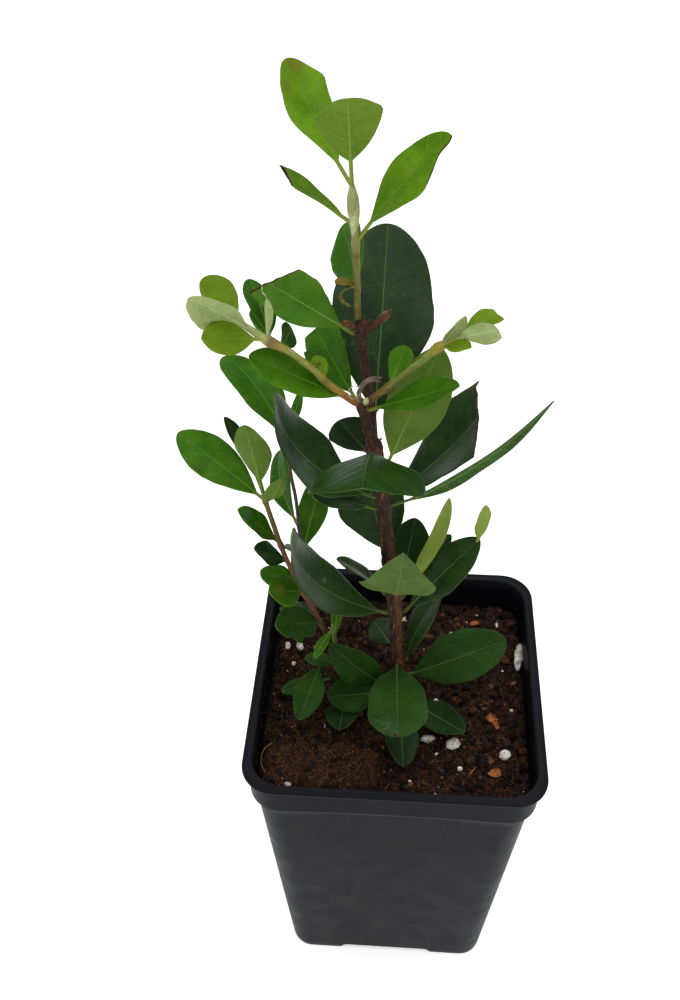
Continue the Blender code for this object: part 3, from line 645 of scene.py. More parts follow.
# swellings where leaves and branches leave: height and size
swellings = {
    "trunk": ((212.5, 0.4), (206.4, 0.3), (194.0, 0.4), (170, 0.35), (156, 0.3), (149, 0.35), (127.5, 0.3),
              (119, 0.3), (247.5, 0.5)),
    "leader": ((258.3, 0.15), (269.7, 0.2), (273.6, 0.15)),
    "left branch": ((236.6, 0.2), (246.2, 0.35)),
    "right branch": ((234.3, 0.3), (246.3, 0.25)),
    "side stem": ((142.2, 0.2), (156.6, 0.3), (175.4, 0.25), (192.1, 0.3)),
    "basal stem": ((124.4, 0.15), (137.4, 0.15)),
    "thin stem": ((169.5, 0.15), (181.8, 0.15), (210.0, 0.15)),
}

nodeMarks = {  # brown rings at the nodes: height, half height, strength
    "leader": ((273.5, 0.7, 0.8), (267.0, 0.8, 0.6), (253.0, 1.3, 0.9), (258.3, 0.6, 0.5)),
    "left branch": ((246.2, 0.6, 0.6), (236.0, 0.8, 0.5), (231.5, 0.9, 0.35)),
    "right branch": ((234.2, 0.7, 0.5), (230.6, 0.8, 0.5)),
    "side stem": ((192.1, 0.7, 0.5), (175.4, 0.7, 0.5)),
}
markShade = colour(104, 56, 26)
warmSideAndPaintedShade = {  # the paler, warmer right side of the trunk, and painted shade on the side turned away
    "shade": colour(150, 92, 46), "azimuth": 62.0, "strength": 0.8,
    "from": 118.0, "fromFade": 14, "to": 172.0, "toFade": 20,
    "dark": 0.38, "gain": 0.34,  # painted shade: brightness left on the side turned away, and what the lit side adds
}


def stemAt(stem, height):
    path = stems[stem]
    for low, high in zip(path, path[1:]):
        if low[2] <= height <= high[2]:
            share = (height - low[2]) / (high[2] - low[2])
            return Vector(low[:3]).lerp(Vector(high[:3]), share), low[3] + (high[3] - low[3]) * share
    raise ValueError(f"{stem} does not reach {height}")


def smoothPath(path, step):  # a rounded run through the points, with the radius as a fourth number
    path = np.array(path, float)
    ends = np.vstack([2 * path[0] - path[1], path, 2 * path[-1] - path[-2]])
    made = []
    for place in range(1, len(ends) - 2):
        before, here, after, later = ends[place - 1:place + 3]
        count = max(2, round(np.linalg.norm(after[:3] - here[:3]) / step))
        for t in np.arange(count) / count:
            tangentIn, tangentOut = (after - before) * 0.4, (later - here) * 0.4
            made.append((2 * t ** 3 - 3 * t ** 2 + 1) * here + (t ** 3 - 2 * t ** 2 + t) * tangentIn
                        + (3 * t ** 2 - 2 * t ** 3) * after + (t ** 3 - t ** 2) * tangentOut)
    made.append(path[-1])
    return np.array(made)


def stemTint(stem, share, height, ray):
    shades = stemShades[stem]
    places = [place for place, _ in shades]
    tint = np.array([np.interp(share, places, [colour(*shade)[i] for _, shade in shades]) for i in range(3)])
    for at, reach, strength in nodeMarks.get(stem, ()):
        tint += (np.array(markShade) - tint) * strength * math.exp(-((height - at) / reach) ** 2)
    if stem == "trunk":
        lit = ray.dot(direction(warmSideAndPaintedShade["azimuth"], 0))
        low, high = warmSideAndPaintedShade["from"], warmSideAndPaintedShade["to"]
        warm = float(soft(lit, 0.25, 0.8)) * float(soft(height, low - warmSideAndPaintedShade["fromFade"], low))
        warm *= 1 - float(soft(height, high, high + warmSideAndPaintedShade["toFade"]))
        tint += (np.array(warmSideAndPaintedShade["shade"]) - tint) * warm * warmSideAndPaintedShade["strength"]
        # painted shade: the trunk's colour is darkened on the side turned away from the azimuth
        tint *= warmSideAndPaintedShade["dark"] + warmSideAndPaintedShade["gain"] * float(soft(lit, -0.9, 0.3))
    return tint


def stemShape(heap, stem, sides, step, rough, ragged=0.0, seed=0, hollow=False):
    path = smoothPath(stems[stem], step)
    across, points, shade, grain = None, [], [], []
    runs = np.concatenate([[0], np.cumsum(np.linalg.norm(np.diff(path[:, :3], axis=0), axis=1))])
    rows = [(number, 1.0, 0.0) for number in range(len(path))]
    if hollow:
        rows += [(len(path) - 1, 0.7, 0.0), (len(path) - 1, 0.6, -0.9)]
    for number, narrow, push in rows:
        spot = path[number]
        before, after = path[max(number - 1, 0)], path[min(number + 1, len(path) - 1)]
        aim = Vector(after[:3] - before[:3]).normalized()
        across = (aim.orthogonal() if across is None else across - across.dot(aim) * aim).normalized()
        other = aim.cross(across)
        run, end = runs[number], runs[-1] - runs[number]
        radius = spot[3] + sum(size * math.exp(-((spot[2] - height) / 1.1) ** 2)
                               for height, size in swellings.get(stem, ()))
        if end < 0.5 and not hollow:
            radius *= 0.72 + 0.28 * math.sqrt(max(0.0, 1 - (1 - end / 0.5) ** 2))
        for side in range(sides):
            angle = 2 * math.pi * side / sides
            ray = across * math.cos(angle) + other * math.sin(angle)
            turned = (math.cos(angle) * 1.6, math.sin(angle) * 1.6)
            plate = noise.noise(Vector((turned[0] * 1.6, turned[1] * 1.6, run / 9 + seed)))
            bits = noise.noise(Vector((turned[0] * 3.4, turned[1] * 3.4, run / 2.4 + seed)))
            reach = radius * (1 + rough * (0.9 * plate + 0.5 * bits
                                           - 0.6 * max(0.0, 0.16 - abs(plate)) / 0.16))
            shift = aim * ragged * noise.noise(ray * 3 + Vector((seed, 0, 0))) * max(0.0, 1 - end / 1.5)
            points.append(Vector(spot[:3]) + ray * reach * narrow + shift + aim * push)
            tint = stemTint(stem, run / runs[-1], spot[2], ray)
            # painted shade: rows inside a hollow end take a quarter of the colour
            shade.append((*(tint if narrow == 1 else tint * 0.25), 1))
            grain.append((math.cos(angle) * spot[3], math.sin(angle) * spot[3], run + seed * 13))
    heap.add(points, ringFaces(len(rows), sides), 0, shade=shade, grain=grain)


# leaves

def blade(stem, height, heading, rise, roll, length, width, bend=0.0, look="dark", **more):
    made = {
        "stem": stem, "height": height, "heading": heading, "rise": rise, "roll": roll, "length": length,
        "width": width, "bend": bend, "look": look, "fold": 12.0, "widest": 0.55, "taper": 1.0, "blunt": 0.55,
        "stalk": 2.5, "cut": (1.0, 1.0),
        "edges": (),  # margin drawn in or out: side, place along, spread, amount
        "burns": (),  # brown spots: place along, place across, size, strength
        # stains are yellowish spots; the next list holds patches of painted sheen, glossy reflection laid
        # into the colour; both: place along, place across, size, strength
        "stains": (), "blooms": (),
        "singed": (),  # brown margin: side, from, to, width
        "rag": 0.0,  # how ragged a cut end is
        "tone": 0.5,
    }
    made.update(more)
    return made


def leafAxes(row):
    rise, roll, heading = (math.radians(row[key]) for key in ("rise", "roll", "heading"))
    out = np.array((math.cos(heading), math.sin(heading), 0))
    along = out * math.cos(rise) + np.array((0, 0, math.sin(rise)))
    level = -out * math.sin(rise) + np.array((0, 0, math.cos(rise)))
    upper = math.cos(roll) * level + math.sin(roll) * np.cross(along, level)
    return along, upper, np.cross(along, upper), out


def halfWidth(row, reach):
    place = (reach - row["stalk"]) / (row["length"] - row["stalk"])
    widest = row["widest"]
    rising = np.sin(np.pi / 2 * np.clip(place / widest, 0, 1)) ** row["taper"]
    falling = np.cos(np.pi / 2 * np.clip((place - widest) / (1 - widest), 0, 1)) ** row["blunt"]
    share = np.where(place < widest, rising, falling)
    floor = np.where(place < widest, 0.46, 0.04)
    return np.maximum(row["width"] / 2 * share, floor)


leafMake = {  # what all leaves share
    "wave": 0.08, "waves": 1.7, "wobble": 0.07,  # ripples of the blade and unevenness of its margin
    "crease": 0.14, "recurve": 0.05,  # softness of the fold, and how the margin turns down
    "cell": 0.62, "thickness": 0.42, "stalkHalf": 0.46, "stalkWidth": 1.0,
    "rib": 0.34, "groove": 0.07, "spineHalf": 0.42, "gap": 0.3,
}


def around(grid, flip=1.0):
    return np.concatenate([grid, flip * grid[:, -2:0:-1]], axis=1)


def spotted(spots, place, u, length, half):
    mark = np.zeros_like(place)
    for at, sideways, size, strength in spots:
        far = np.hypot((place - at) * length, half * (u[None, :] - sideways))
        mark = np.maximum(mark, strength * (1 - soft(far, size * 0.3, size * 1.4)))
    return mark


def leafShape(heap, row, foot, slot=0, root=0.0, seed=0):
    along, upper, across, out = leafAxes(row)
    length, stalk = row["length"], row["stalk"]
    steps = max(14, round(length / leafMake["cell"]))
    columns = 2 * max(5, round(row["width"] / 2 / leafMake["cell"]))
    start = stalk / length
    shares = np.concatenate([np.linspace(0, start, 5)[:-1],
                             start + (1 - start) * (1 - np.cos(np.pi * np.arange(steps + 1) / steps)) / 2])
    even = np.linspace(-1, 1, columns + 1)
    u = np.sign(even) * (1 - (1 - np.abs(even)) ** 1.3)
    cut = row["cut"] if len(row["cut"]) == 3 else (row["cut"][0], sum(row["cut"]) / 2, row["cut"][1])
    place = shares[:, None] * np.interp(u, (-1, 0, 1), cut)[None, :]
    if row["rag"]:
        teeth = np.array([noise.noise(Vector((x * 4.5 + seed, seed, 0)))
                          + 0.5 * noise.noise(Vector((x * 13, seed, 2))) for x in u])
        place = place + row["rag"] / length * teeth[None, :] * shares[:, None] ** 10
    # the middle line, summed up from small steps
    fine = np.linspace(0, 1, 501)
    turns = np.radians(row["bend"]) * (fine - 0.5)
    tangent = along[None, :] * np.cos(turns)[:, None] - upper[None, :] * np.sin(turns)[:, None]
    line = np.zeros((501, 3))
    line[1:] = np.cumsum((tangent[1:] + tangent[:-1]) / 2, axis=0) * length / 500
    middle = np.stack([np.interp(place, fine, line[:, axis]) for axis in range(3)], axis=-1) + np.array(foot)
    turn = np.interp(place, fine, turns)[..., None]
    outward = upper * np.cos(turn) + along * np.sin(turn)
    half = halfWidth(row, place * length)
    solid = soft(place * length, stalk - 1.2, stalk + 2.5)
    margin = np.array([[noise.noise(Vector((5.2 * share, hand * 3.0, seed * 1.7)))
                        + 0.35 * noise.noise(Vector((15 * share, hand * 3.0, seed * 2.3)))
                        for hand in (-1, 1)]
                       for share in shares])
    half = half * (1 + leafMake["wobble"] * solid * np.where(u[None, :] > 0, margin[:, 1:], margin[:, :1]))
    for side, at, spread, amount in row["edges"]:
        half = half * (1 + np.exp(-((place - at) / spread) ** 2) * amount * soft(u[None, :] * side, 0.0, 0.4))
    fold, wide = math.radians(row["fold"]), np.abs(u)[None, :]
    soften = leafMake["crease"]
    valley = (np.sqrt(wide ** 2 + soften ** 2) - soften) / (math.sqrt(1 + soften ** 2) - soften)
    ripple = np.sin(2 * np.pi * leafMake["waves"] * place + seed * 2.1 + np.where(u > 0, 1.4, 0.0)[None, :])
    waving = leafMake["wave"] * ripple * wide ** 2
    lift = half * (math.sin(fold) * valley - leafMake["recurve"] * wide ** 5 + waving)
    surface = middle + across * (half * u[None, :] * math.cos(fold))[..., None] + outward * lift[..., None]
    inside = np.clip(1 - wide ** 6, 0, 1)
    bladeHalf = leafMake["thickness"] / 2 * np.sqrt(inside)
    stalkHalf = leafMake["stalkHalf"] * np.sqrt(np.clip(1 - wide ** 2, 0, 1)) * np.ones_like(place)
    thick = stalkHalf * (1 - solid) + bladeHalf * solid
    spine = np.exp(-(half * u[None, :] / leafMake["spineHalf"]) ** 2) * solid * (1 - 0.8 * place) * inside
    top = surface + outward * (thick - spine * leafMake["groove"])[..., None]
    low = surface - outward * (thick + spine * leafMake["rib"])[..., None]
    ring = np.concatenate([top, low[:, -2:0:-1]], axis=1)
    one = np.ones_like(place)
    burn = spotted(row["burns"], place, u, length, half)
    for side, first, last, width in row["singed"]:
        inward = half * (1 - u[None, :] * side)
        stretch = soft(place, first - 0.03, first + 0.02) * (1 - soft(place, last - 0.02, last + 0.03))
        burn = np.maximum(burn, (1 - soft(inward, width * 0.4, width * 1.4)) * stretch)
    if row["rag"]:
        burn = np.maximum(burn, 1 - soft((1 - shares[:, None]) * length * one, 0.2, 0.8))
    face = around(one, -1.0)
    face[:, 0] = face[:, columns] = 0
    values = {
        "across": around(u[None, :] * one), "span": around(half), "reach": around(place * length),
        "face": face, "share": around(place), "scorch": around(burn), "tone": around(one * row["tone"]),
        "stalky": around(1 - soft(place * length, stalk - 0.8, stalk + 1.6)),
        "stain": around(spotted(row["stains"], place, u, length, half)),
        # the painted sheen patches are marked here too
        "bloom": around(spotted(row["blooms"], place, u, length, half)),
    }
    if root:  # the stalk goes on into the stem it grows on
        ring = np.concatenate([ring[:1] - (out * root)[None, None, :], ring])
        values = {key: np.concatenate([value[:1], value]) for key, value in values.items()}
    heap.add(ring.reshape(-1, 3), ringFaces(len(ring), 2 * columns), slot,
             **{key: value.ravel() for key, value in values.items()})


def leafFoot(row, onBark):
    centre, radius = stemAt(row["stem"], row["height"])
    if not onBark:
        return np.array(centre), 0.0
    away = radius + leafMake["gap"] + leafMake["stalkWidth"] / 2
    heading = math.radians(row["heading"])
    return np.array(centre) + away * np.array((math.cos(heading), math.sin(heading), 0)), away * 0.75


def addLeaves(name, rows, node, onBark=False, seed=0):
    looks = sorted({row["look"] for row in rows})
    heap = Heap()
    for number, row in enumerate(rows):
        foot, root = leafFoot(row, onBark)
        leafShape(heap, row, foot, looks.index(row["look"]), root, seed + number + 1)
    made = heap.piece(name, [leafFinishes[look] for look in looks])
    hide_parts(node)


trunkLeaves = {  # node, record slot, blade
    "upperLeafCut": ("upper_leaf_cut", "green_leaf", blade(
        "trunk", 246.0, 167, 26, -27, 30, 14, 1, "mid", stalk=3, widest=0.5, cut=(0.84, 0.76, 0.6), rag=0.4,
        tone=0.75)),
    "forkLeafBack": ("fork_leaf_back", "green_leaf", blade(
        "spur", 227.6, 118, 15, -50, 30, 12, 12, "fresh", stalk=3, cut=(0.85, 0.85), tone=0.1)),
    "forkLeafRight": ("fork_leaf_right", "green_leaf", blade(
        "spur", 227.8, -22, 33, 17, 26, 9.5, 0, "fresh", tone=0.25)),
    "knotLeafBack": ("knot_leaf_back", "dark_leaf", blade(
        "trunk", 214.5, 88, 40, 7, 56, 27, 13, "dark", stalk=5, tone=0.15, blooms=((0.42, -0.55, 8, 0.4),))),
    "knotLeafFront": ("knot_leaf_front", "dark_leaf", blade(
        "trunk", 212.5, -93, 26, 5, 32, 28.5, 34, "green", fold=-15, stalk=3, widest=0.75, blunt=0.4,
        tone=0.3)),
    "highLeafRight": ("high_leaf_right", "pale_leaf", blade(
        "trunk", 206.4, 19, 70, -111, 36, 15.5, -8, "mid", fold=-12, tone=0.4)),
    "highLeafLeft": ("high_leaf_left", "dark_leaf", blade(
        "trunk", 207.0, 127, 8, -4, 15.5, 13, -7, "dark", tone=0.3)),
    "midLeafLeft": ("mid_leaf_left", "dark_leaf", blade(
        "trunk", 195.5, 191, 57, -21, 48, 18.5, -78, "dark", widest=0.42, blunt=0.85, tone=0.8,
        blooms=((0.45, -0.2, 2.4, 0.7), (0.25, 0.1, 1.6, 0.8)))),
    "midLeafRight": ("mid_leaf_right", "dark_leaf", blade(
        "trunk", 195.5, 25, 45, -11, 45, 25, -37, "dark", widest=0.5, taper=0.8, cut=(0.82, 0.54), rag=0.9,
        tone=0.35)),
    "midLeafLong": ("mid_leaf_long", "green_leaf", blade(
        "trunk", 192.4, 4, 42, -66, 52, 6.5, -29, "long", fold=-20, widest=0.4, blunt=0.9, tone=0.5)),
    "midLeafSmall": ("mid_leaf_small", "dark_leaf", blade(
        "trunk", 191.5, 197, 26, -1, 18.5, 9, 13, "dark", tone=0.5)),
    "lowLeafBack": ("low_leaf_back", "dark_leaf", blade(
        "trunk", 170.0, 112, 52, -40, 29, 21, 18, "dark", widest=0.5, taper=0.8, tone=0.7)),
    "lowLeafFront": ("low_leaf_front", "pale_leaf", blade(
        "trunk", 162.5, -76, 70, -14, 27.5, 21, -95, "dark", fold=8, widest=0.36, blunt=0.9, stalk=2,
        tone=0.4)),
    "lowLeafLeft": ("low_leaf_left", "dark_leaf", blade(
        "trunk", 149.6, 199, 58, -24, 55, 17, -89, "dark", widest=0.5, taper=0.8, blunt=0.8, tone=1.0,
        blooms=((0.55, -0.1, 2.2, 0.9), (0.42, 0.3, 1.5, 0.9), (0.75, -0.3, 3.5, 0.6)))),
    "lowLeafLeftSmall": ("low_leaf_left_small", "dark_leaf", blade(
        "trunk", 156.0, 165, 34, 24, 18, 9, 25, "dark", tone=0.6)),
    "lowLeafUpright": ("low_leaf_upright", "dark_leaf", blade(
        "trunk", 153.6, 71, 58, 21, 24, 12.5, 13, "dark", tone=0.4)),
    "lowLeafPale": ("low_leaf_pale", "pale_leaf", blade(
        "trunk", 155.8, 36, 64, -100, 34, 6.5, -21, "lime", fold=-20, tone=0.0)),
    "lowLeafBehind": ("low_leaf_behind", "dark_leaf", blade(
        "trunk", 152.7, 47, 32, -3, 24, 8, 7, "dark", tone=0.3)),
    "footLeafTall": ("foot_leaf_tall", "dark_leaf", blade(
        "trunk", 125.8, 17, 71, 10, 31, 9, 27, "dark", stalk=1.5, tone=0.5)),
    "footLeafBack": ("foot_leaf_back", "dark_leaf", blade(
        "trunk", 129.2, 113, -19, -25, 17.5, 9.5, 6, "dark", tone=0.3)),
    "footLeafLeft": ("foot_leaf_left", "green_leaf", blade(
        "trunk", 115.0, 193, 53, -80, 31, 11.5, 44, "green", blunt=0.7, tone=0.3)),
    "footLeafFront": ("foot_leaf_front", "green_leaf", blade(
        "trunk", 127.5, -88, 4, 4, 28.5, 18, 62, "green", widest=0.72, blunt=0.4, taper=1.05, stalk=1,
        tone=0.5, burns=((0.98, 0.25, 0.7, 1.0),), blooms=((0.9, 0.4, 4.5, 0.5),))),
    "footLeafRight": ("foot_leaf_right", "green_leaf", blade(
        "trunk", 119.2, 4, 30, 45, 35, 16, 45, "green", stalk=3, tone=0.3, burns=((0.55, 0.1, 0.6, 0.9),))),
    "footLeafRightLow": ("foot_leaf_right_low", "dark_leaf", blade(
        "trunk", 111.5, -41, 11, 10, 25, 10.5, -15, "dark", stalk=3, tone=0.3)),
    "footLeafFrontLow": ("foot_leaf_front_low", "dark_leaf", blade(
        "trunk", 111.5, -85, 2, -10, 26, 10.5, 17, "dark", stalk=4, tone=0.1)),
    "footLeafLeftLow": ("foot_leaf_left_low", "green_leaf", blade(
        "trunk", 112.0, 204, 19, -26, 21.5, 12, -4, "green", stalk=3, tone=0.1,
        burns=((0.7, 0.4, 0.4, 0.8),))),
}

lowRight = {
    "blade": blade("trunk", 148.7, 13, 53, 32, 34, 12, 8, "dark", tone=0.5),
    "curl": blade("trunk", 148.7, -43, 84, -19, 15, 5, -28, "lime", stalk=0.5, tone=0.1),
    "curlFrom": 0.97,
}

shootLeaves = {  # record slot, blades
    "leader_shoot": ("young_shoot", (
        blade("leader", 282.9, 127, 38, 7, 31, 12.5, -18, "bright", stalk=6, tone=0.5, blunt=0.45,
              edges=((1, 0.84, 0.09, 0.16), (1, 0.66, 0.1, -0.1)),
              stains=((0.95, 0.2, 2.6, 0.7), (0.8, -0.7, 2.2, 0.6))),
        blade("leader", 282.9, -90, 59, 10, 28.5, 13, 16, "bright", widest=0.6, blunt=0.5, taper=0.8, stalk=8,
              tone=0.4, edges=((-1, 0.78, 0.12, 0.08),)),
        blade("leader", 269.7, -5, 53, 29, 32, 12, 17, "bright", stalk=6, tone=0.25,
              edges=((1, 0.9, 0.08, -0.45), (1, 0.68, 0.09, 0.14)), singed=((1, 0.74, 1.0, 0.35),),
              burns=((0.86, 0.35, 0.9, 0.5),)),
        blade("leader", 274.0, 144, 16, 17, 26, 7, 1, "bright", stalk=3, cut=(0.62, 0.92), rag=0.3, tone=0.4),
        blade("leader", 258.3, 101, 3, -54, 26.5, 12.5, -16, "fresh", tone=0.1),
        blade("leader", 258.5, 200, 25, 0, 6, 3.5, 60, "dry", stalk=1),
    )),
    "left_branch": ("woolly_shoot", (
        blade("left branch", 230.6, 184, 29, -22, 27, 11.5, -4, "fresh", tone=0.6,
              blooms=((0.7, 0.3, 4, 0.4),)),
        blade("left branch", 236.0, 123, 40, -9, 6.5, 4.5, 9, "lime", stalk=0.5, tone=0.2),
        blade("left branch", 246.3, 106, 14, -11, 13.5, 6.5, 2, "fresh", stalk=1, tone=0.7),
        blade("left branch", 246.2, 111, 16, 14, 20, 7, 19, "mid", stalk=2, tone=0.0),
        blade("left branch", 245.0, 81, -8, 61, 10, 6.5, 6, "mid", stalk=1, tone=0.2),
        blade("left branch", 246.6, -105, 96, -3, 10.5, 3, 10, "woolly", fold=40, stalk=1, tone=0.5),
        blade("left branch", 247.5, 199, 40, 72, 20.5, 10.5, 20, "woolly", fold=-20, widest=0.6, blunt=0.45,
              stalk=4, tone=0.6),
        blade("left branch", 250.4, 140, 29, -7, 15, 8.5, 6, "lime", widest=0.6, blunt=0.45, tone=0.2,
              burns=((0.15, 0.0, 0.8, 0.6),)),
        blade("left branch", 246.9, 210, 18, -38, 16, 9, -4, "lime", widest=0.6, tone=0.3),
        blade("left branch", 239.0, 89, -2, 6, 9.5, 6, -1, "fresh", stalk=1, tone=0.5),
    )),
    "right_branch": ("woolly_shoot", (
        blade("right branch", 234.4, 61, 43, 9, 10.5, 6, 9, "fresh", widest=0.65, blunt=0.45, stalk=1,
              tone=0.5),
        blade("right branch", 246.2, -5, 58, -59, 10.5, 4.5, 10, "woolly", fold=-25, stalk=1, tone=0.3),
        blade("right branch", 248.4, -33, 32, -72, 14.5, 6.5, 22, "woolly", fold=-12, stalk=1,
              cut=(0.85, 0.85)),
        blade("right branch", 249.4, 34, 10, 2, 12.5, 6.5, 24, "lime", stalk=1, cut=(0.85, 0.85), tone=0.2),
        blade("right branch", 246.5, -34, 21, 17, 8.5, 4.5, 5, "lime", stalk=1, tone=0.4),
    )),
    "side_shoot": ("side_shoot", (
        blade("side stem", 192.1, 147, 16, -25, 32, 12, 18, "fresh", tone=0.3),
        blade("side stem", 192.1, -118, 79, 19, 30.5, 9.5, 2, "mid", stalk=8, tone=0.3),
        blade("side stem", 194.2, 125, 31, 25, 24.5, 6, 23, "green", stalk=5, tone=0.1),
        blade("side stem", 192.1, -33, 61, -44, 13.5, 5.5, -50, "mid", stalk=0.5, tone=0.6),
        blade("side stem", 175.5, 197, 56, -22, 19.5, 7.5, 9, "fresh", tone=0.2, blooms=((0.85, 0, 3, 0.8),)),
        blade("side stem", 175.5, 28, -52, -7, 10.5, 6, 10, "dark", stalk=1),
        blade("side stem", 168.6, 196, 40, -12, 12, 8, -7, "green", stalk=1, tone=0.2),
        blade("side stem", 157.1, 162, 14, -12, 13.5, 8, 6, "fresh", stalk=1, tone=0.3),
        blade("side stem", 156.2, 218, 33, -29, 13.5, 10.5, 8, "fresh", stalk=1, tone=0.4,
              stains=((0.7, 0, 3, 0.6),)),
        blade("side stem", 142.2, 214, 28, -34, 17, 12.5, 21, "green", stalk=1, tone=0.9,
              edges=((-1, 0.45, 0.07, -0.35), (-1, 0.75, 0.06, -0.3))),
        blade("side stem", 145.8, 161, -7, 9, 12, 7, 6, "green", stalk=1, tone=0.6),
        blade("thin stem", 181.8, 108, 18, -52, 26, 9, 45, "mid", tone=0.1),
        blade("thin stem", 169.5, 77, 30, -12, 25, 10, 17, "mid", tone=0.3, stains=((0.5, 0, 6, 0.35),)),
        blade("thin stem", 210.0, 127, 15, 8, 35, 13.5, 48, "fresh", tone=0.2),
        blade("thin stem", 210.0, 81, 26, -31, 17, 4, 10, "fresh", tone=0.4),
    )),
    "basal_shoot": ("side_shoot", (
        blade("twig", 124.2, -104, -4, -18, 21, 9, 28, "green", stalk=1, tone=0.7),
        blade("basal stem", 111.0, -95, 2, 8, 15, 11, 12, "dark", taper=0.8, stalk=1, tone=0.3),
        blade("twig", 117.4, 201, -1, -19, 16.5, 5.5, 1, "green", stalk=3, tone=0.5),
        blade("basal stem", 124.4, 173, 6, 4, 11, 6, 25, "green", stalk=1, tone=0.8),
        blade("basal stem", 137.4, 87, 28, 0, 11.5, 3.5, 10, "mid", stalk=1, tone=0.6),
        blade("basal stem", 143.0, -117, -16, 4, 11, 3.5, 13, "mid", stalk=1, tone=0.6),
    )),
}


def addPlant():
    for number, (name, (node, slotName, row)) in enumerate(trunkLeaves.items()):
        addLeaves(name, (row,), node, True, number * 3)
    heap = Heap()
    row, share = lowRight["blade"], lowRight["curlFrom"]
    foot, root = leafFoot(row, True)
    leafShape(heap, row, foot, 1, root, 3)
    along, upper, _, _ = leafAxes(row)
    bend = math.radians(row["bend"])
    turn = bend * (share - 0.5)
    tip = foot + row["length"] / bend * (along * (math.sin(turn) + math.sin(bend / 2))
                                         + upper * (math.cos(turn) - math.cos(bend / 2)))
    leafShape(heap, lowRight["curl"], tip, 0, 0.0, 4)
    made = heap.piece("lowLeafRight", [leafFinishes["lime"], leafFinishes["dark"]])
    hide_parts("low_leaf_right")
    for number, (node, (slotName, rows)) in enumerate(shootLeaves.items()):
        addLeaves(f"{node}_leaves", rows, node, False, 100 + number * 20)
    print("leaves")


def addStems():
    heap = Heap()
    stemShape(heap, "trunk", 32, 0.45, 0.2)
    for number, stem in enumerate(("spur", "left stub", "middle stub", "right stub", "dead stub")):
        dead = stem == "dead stub"
        rough, ragged = 0.08 if dead else 0.22, 1.3 if "stub" in stem else 0.4
        stemShape(heap, stem, 16, 0.3, rough, ragged, number + 1, dead)
    trunk = heap.piece("trunkBark", [barkFinish])
    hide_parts("trunk")
    shoots = {
        "leader_shoot": (("leader",), shootFinish, "young_shoot"),
        "left_branch": (("left branch",), woolFinish, "woolly_shoot"),
        "right_branch": (("right branch",), woolFinish, "woolly_shoot"),
        "side_shoot": (("side stem", "thin stem"), shootFinish, "side_shoot"),
        "basal_shoot": (("basal stem", "twig"), shootFinish, "side_shoot"),
    }
    for node, (runs, finish, slotName) in shoots.items():
        heap = Heap()
        for number, stem in enumerate(runs):
            stemShape(heap, stem, 16, 0.35, 0.07, 0, number + 20)
        made = heap.piece(f"{node}_stem", [finish])
        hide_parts(node)
    print("stems")


flakes = {
    "strips": 90, "stripFrom": 112, "stripTo": 214, "stripLength": (2.5, 8.0), "stripWidth": (0.25, 0.6),
    "lift": 0.35, "chips": 34, "chipSize": (0.25, 0.55),
    "chipSpots": ((-12.1, 0.0, 247.8, 1.9), (-10.4, -2.0, 220.5, 1.3), (-8.6, 0.0, 213.5, 1.9)),
    "splinters": 9, "splinterSpread": 0.35, "seed": 31,
}


def addFlakes():  # peeling strips up the trunk, scaly chips at the knots and splinters on the stubs
    draw = random.Random(flakes["seed"])
    heap = Heap()
    for _ in range(flakes["strips"]):
        height = draw.uniform(flakes["stripFrom"], flakes["stripTo"] - 2)
        length, width = draw.uniform(*flakes["stripLength"]), draw.uniform(*flakes["stripWidth"])
        angle = draw.uniform(0, 2 * math.pi)
        points = []
        for step in range(7):
            share = step / 6
            centre, radius = stemAt("trunk", min(height + length * share, flakes["stripTo"]))
            turned = angle + 0.3 * (share - 0.5)
            peel = flakes["lift"] * abs(2 * share - 1) ** 3 * draw.uniform(0.6, 1.2)
            for sideways in (-1, 0, 1):
                spin = turned + sideways * width / 2 / radius * math.sin(math.pi * (0.12 + 0.76 * share))
                reach = radius * 1.02 + peel + 0.06 * (1 - abs(sideways)) + 0.05
                points.append(centre + Vector((math.cos(spin), math.sin(spin), 0)) * reach)
        faces = [(row * 3 + side, row * 3 + side + 1, row * 3 + side + 4, row * 3 + side + 3)
                 for row in range(6) for side in (0, 1)]
        heap.add(points, faces)
    for _ in range(flakes["chips"]):
        x, y, z, radius = draw.choice(flakes["chipSpots"])
        angle, rise = draw.uniform(0, 2 * math.pi), draw.uniform(-1.6, 1.6)
        centre = (x + radius * math.cos(angle), y + radius * math.sin(angle), z + rise)
        heap.add(*lump(2, centre, draw.uniform(*flakes["chipSize"]), (1, 0.6, 0.28), draw, 0.5))
    for stem in ("left stub", "middle stub", "right stub"):
        end, before = Vector(stems[stem][-1][:3]), Vector(stems[stem][-2][:3])
        aim = (end - before).normalized()
        for _ in range(flakes["splinters"]):
            wide = stray(draw, flakes["splinterSpread"])
            tip = end + wide * 1.6 + aim * draw.uniform(0.1, 1.0)
            heap.add(*strand([end + wide - aim * 1.6, end + wide, tip], [0.22, 0.17, 0.03], 4))
    made = heap.piece("barkFlakes", [flakeFinish])
    print("flakes", heap.count)


# buds, threads and down

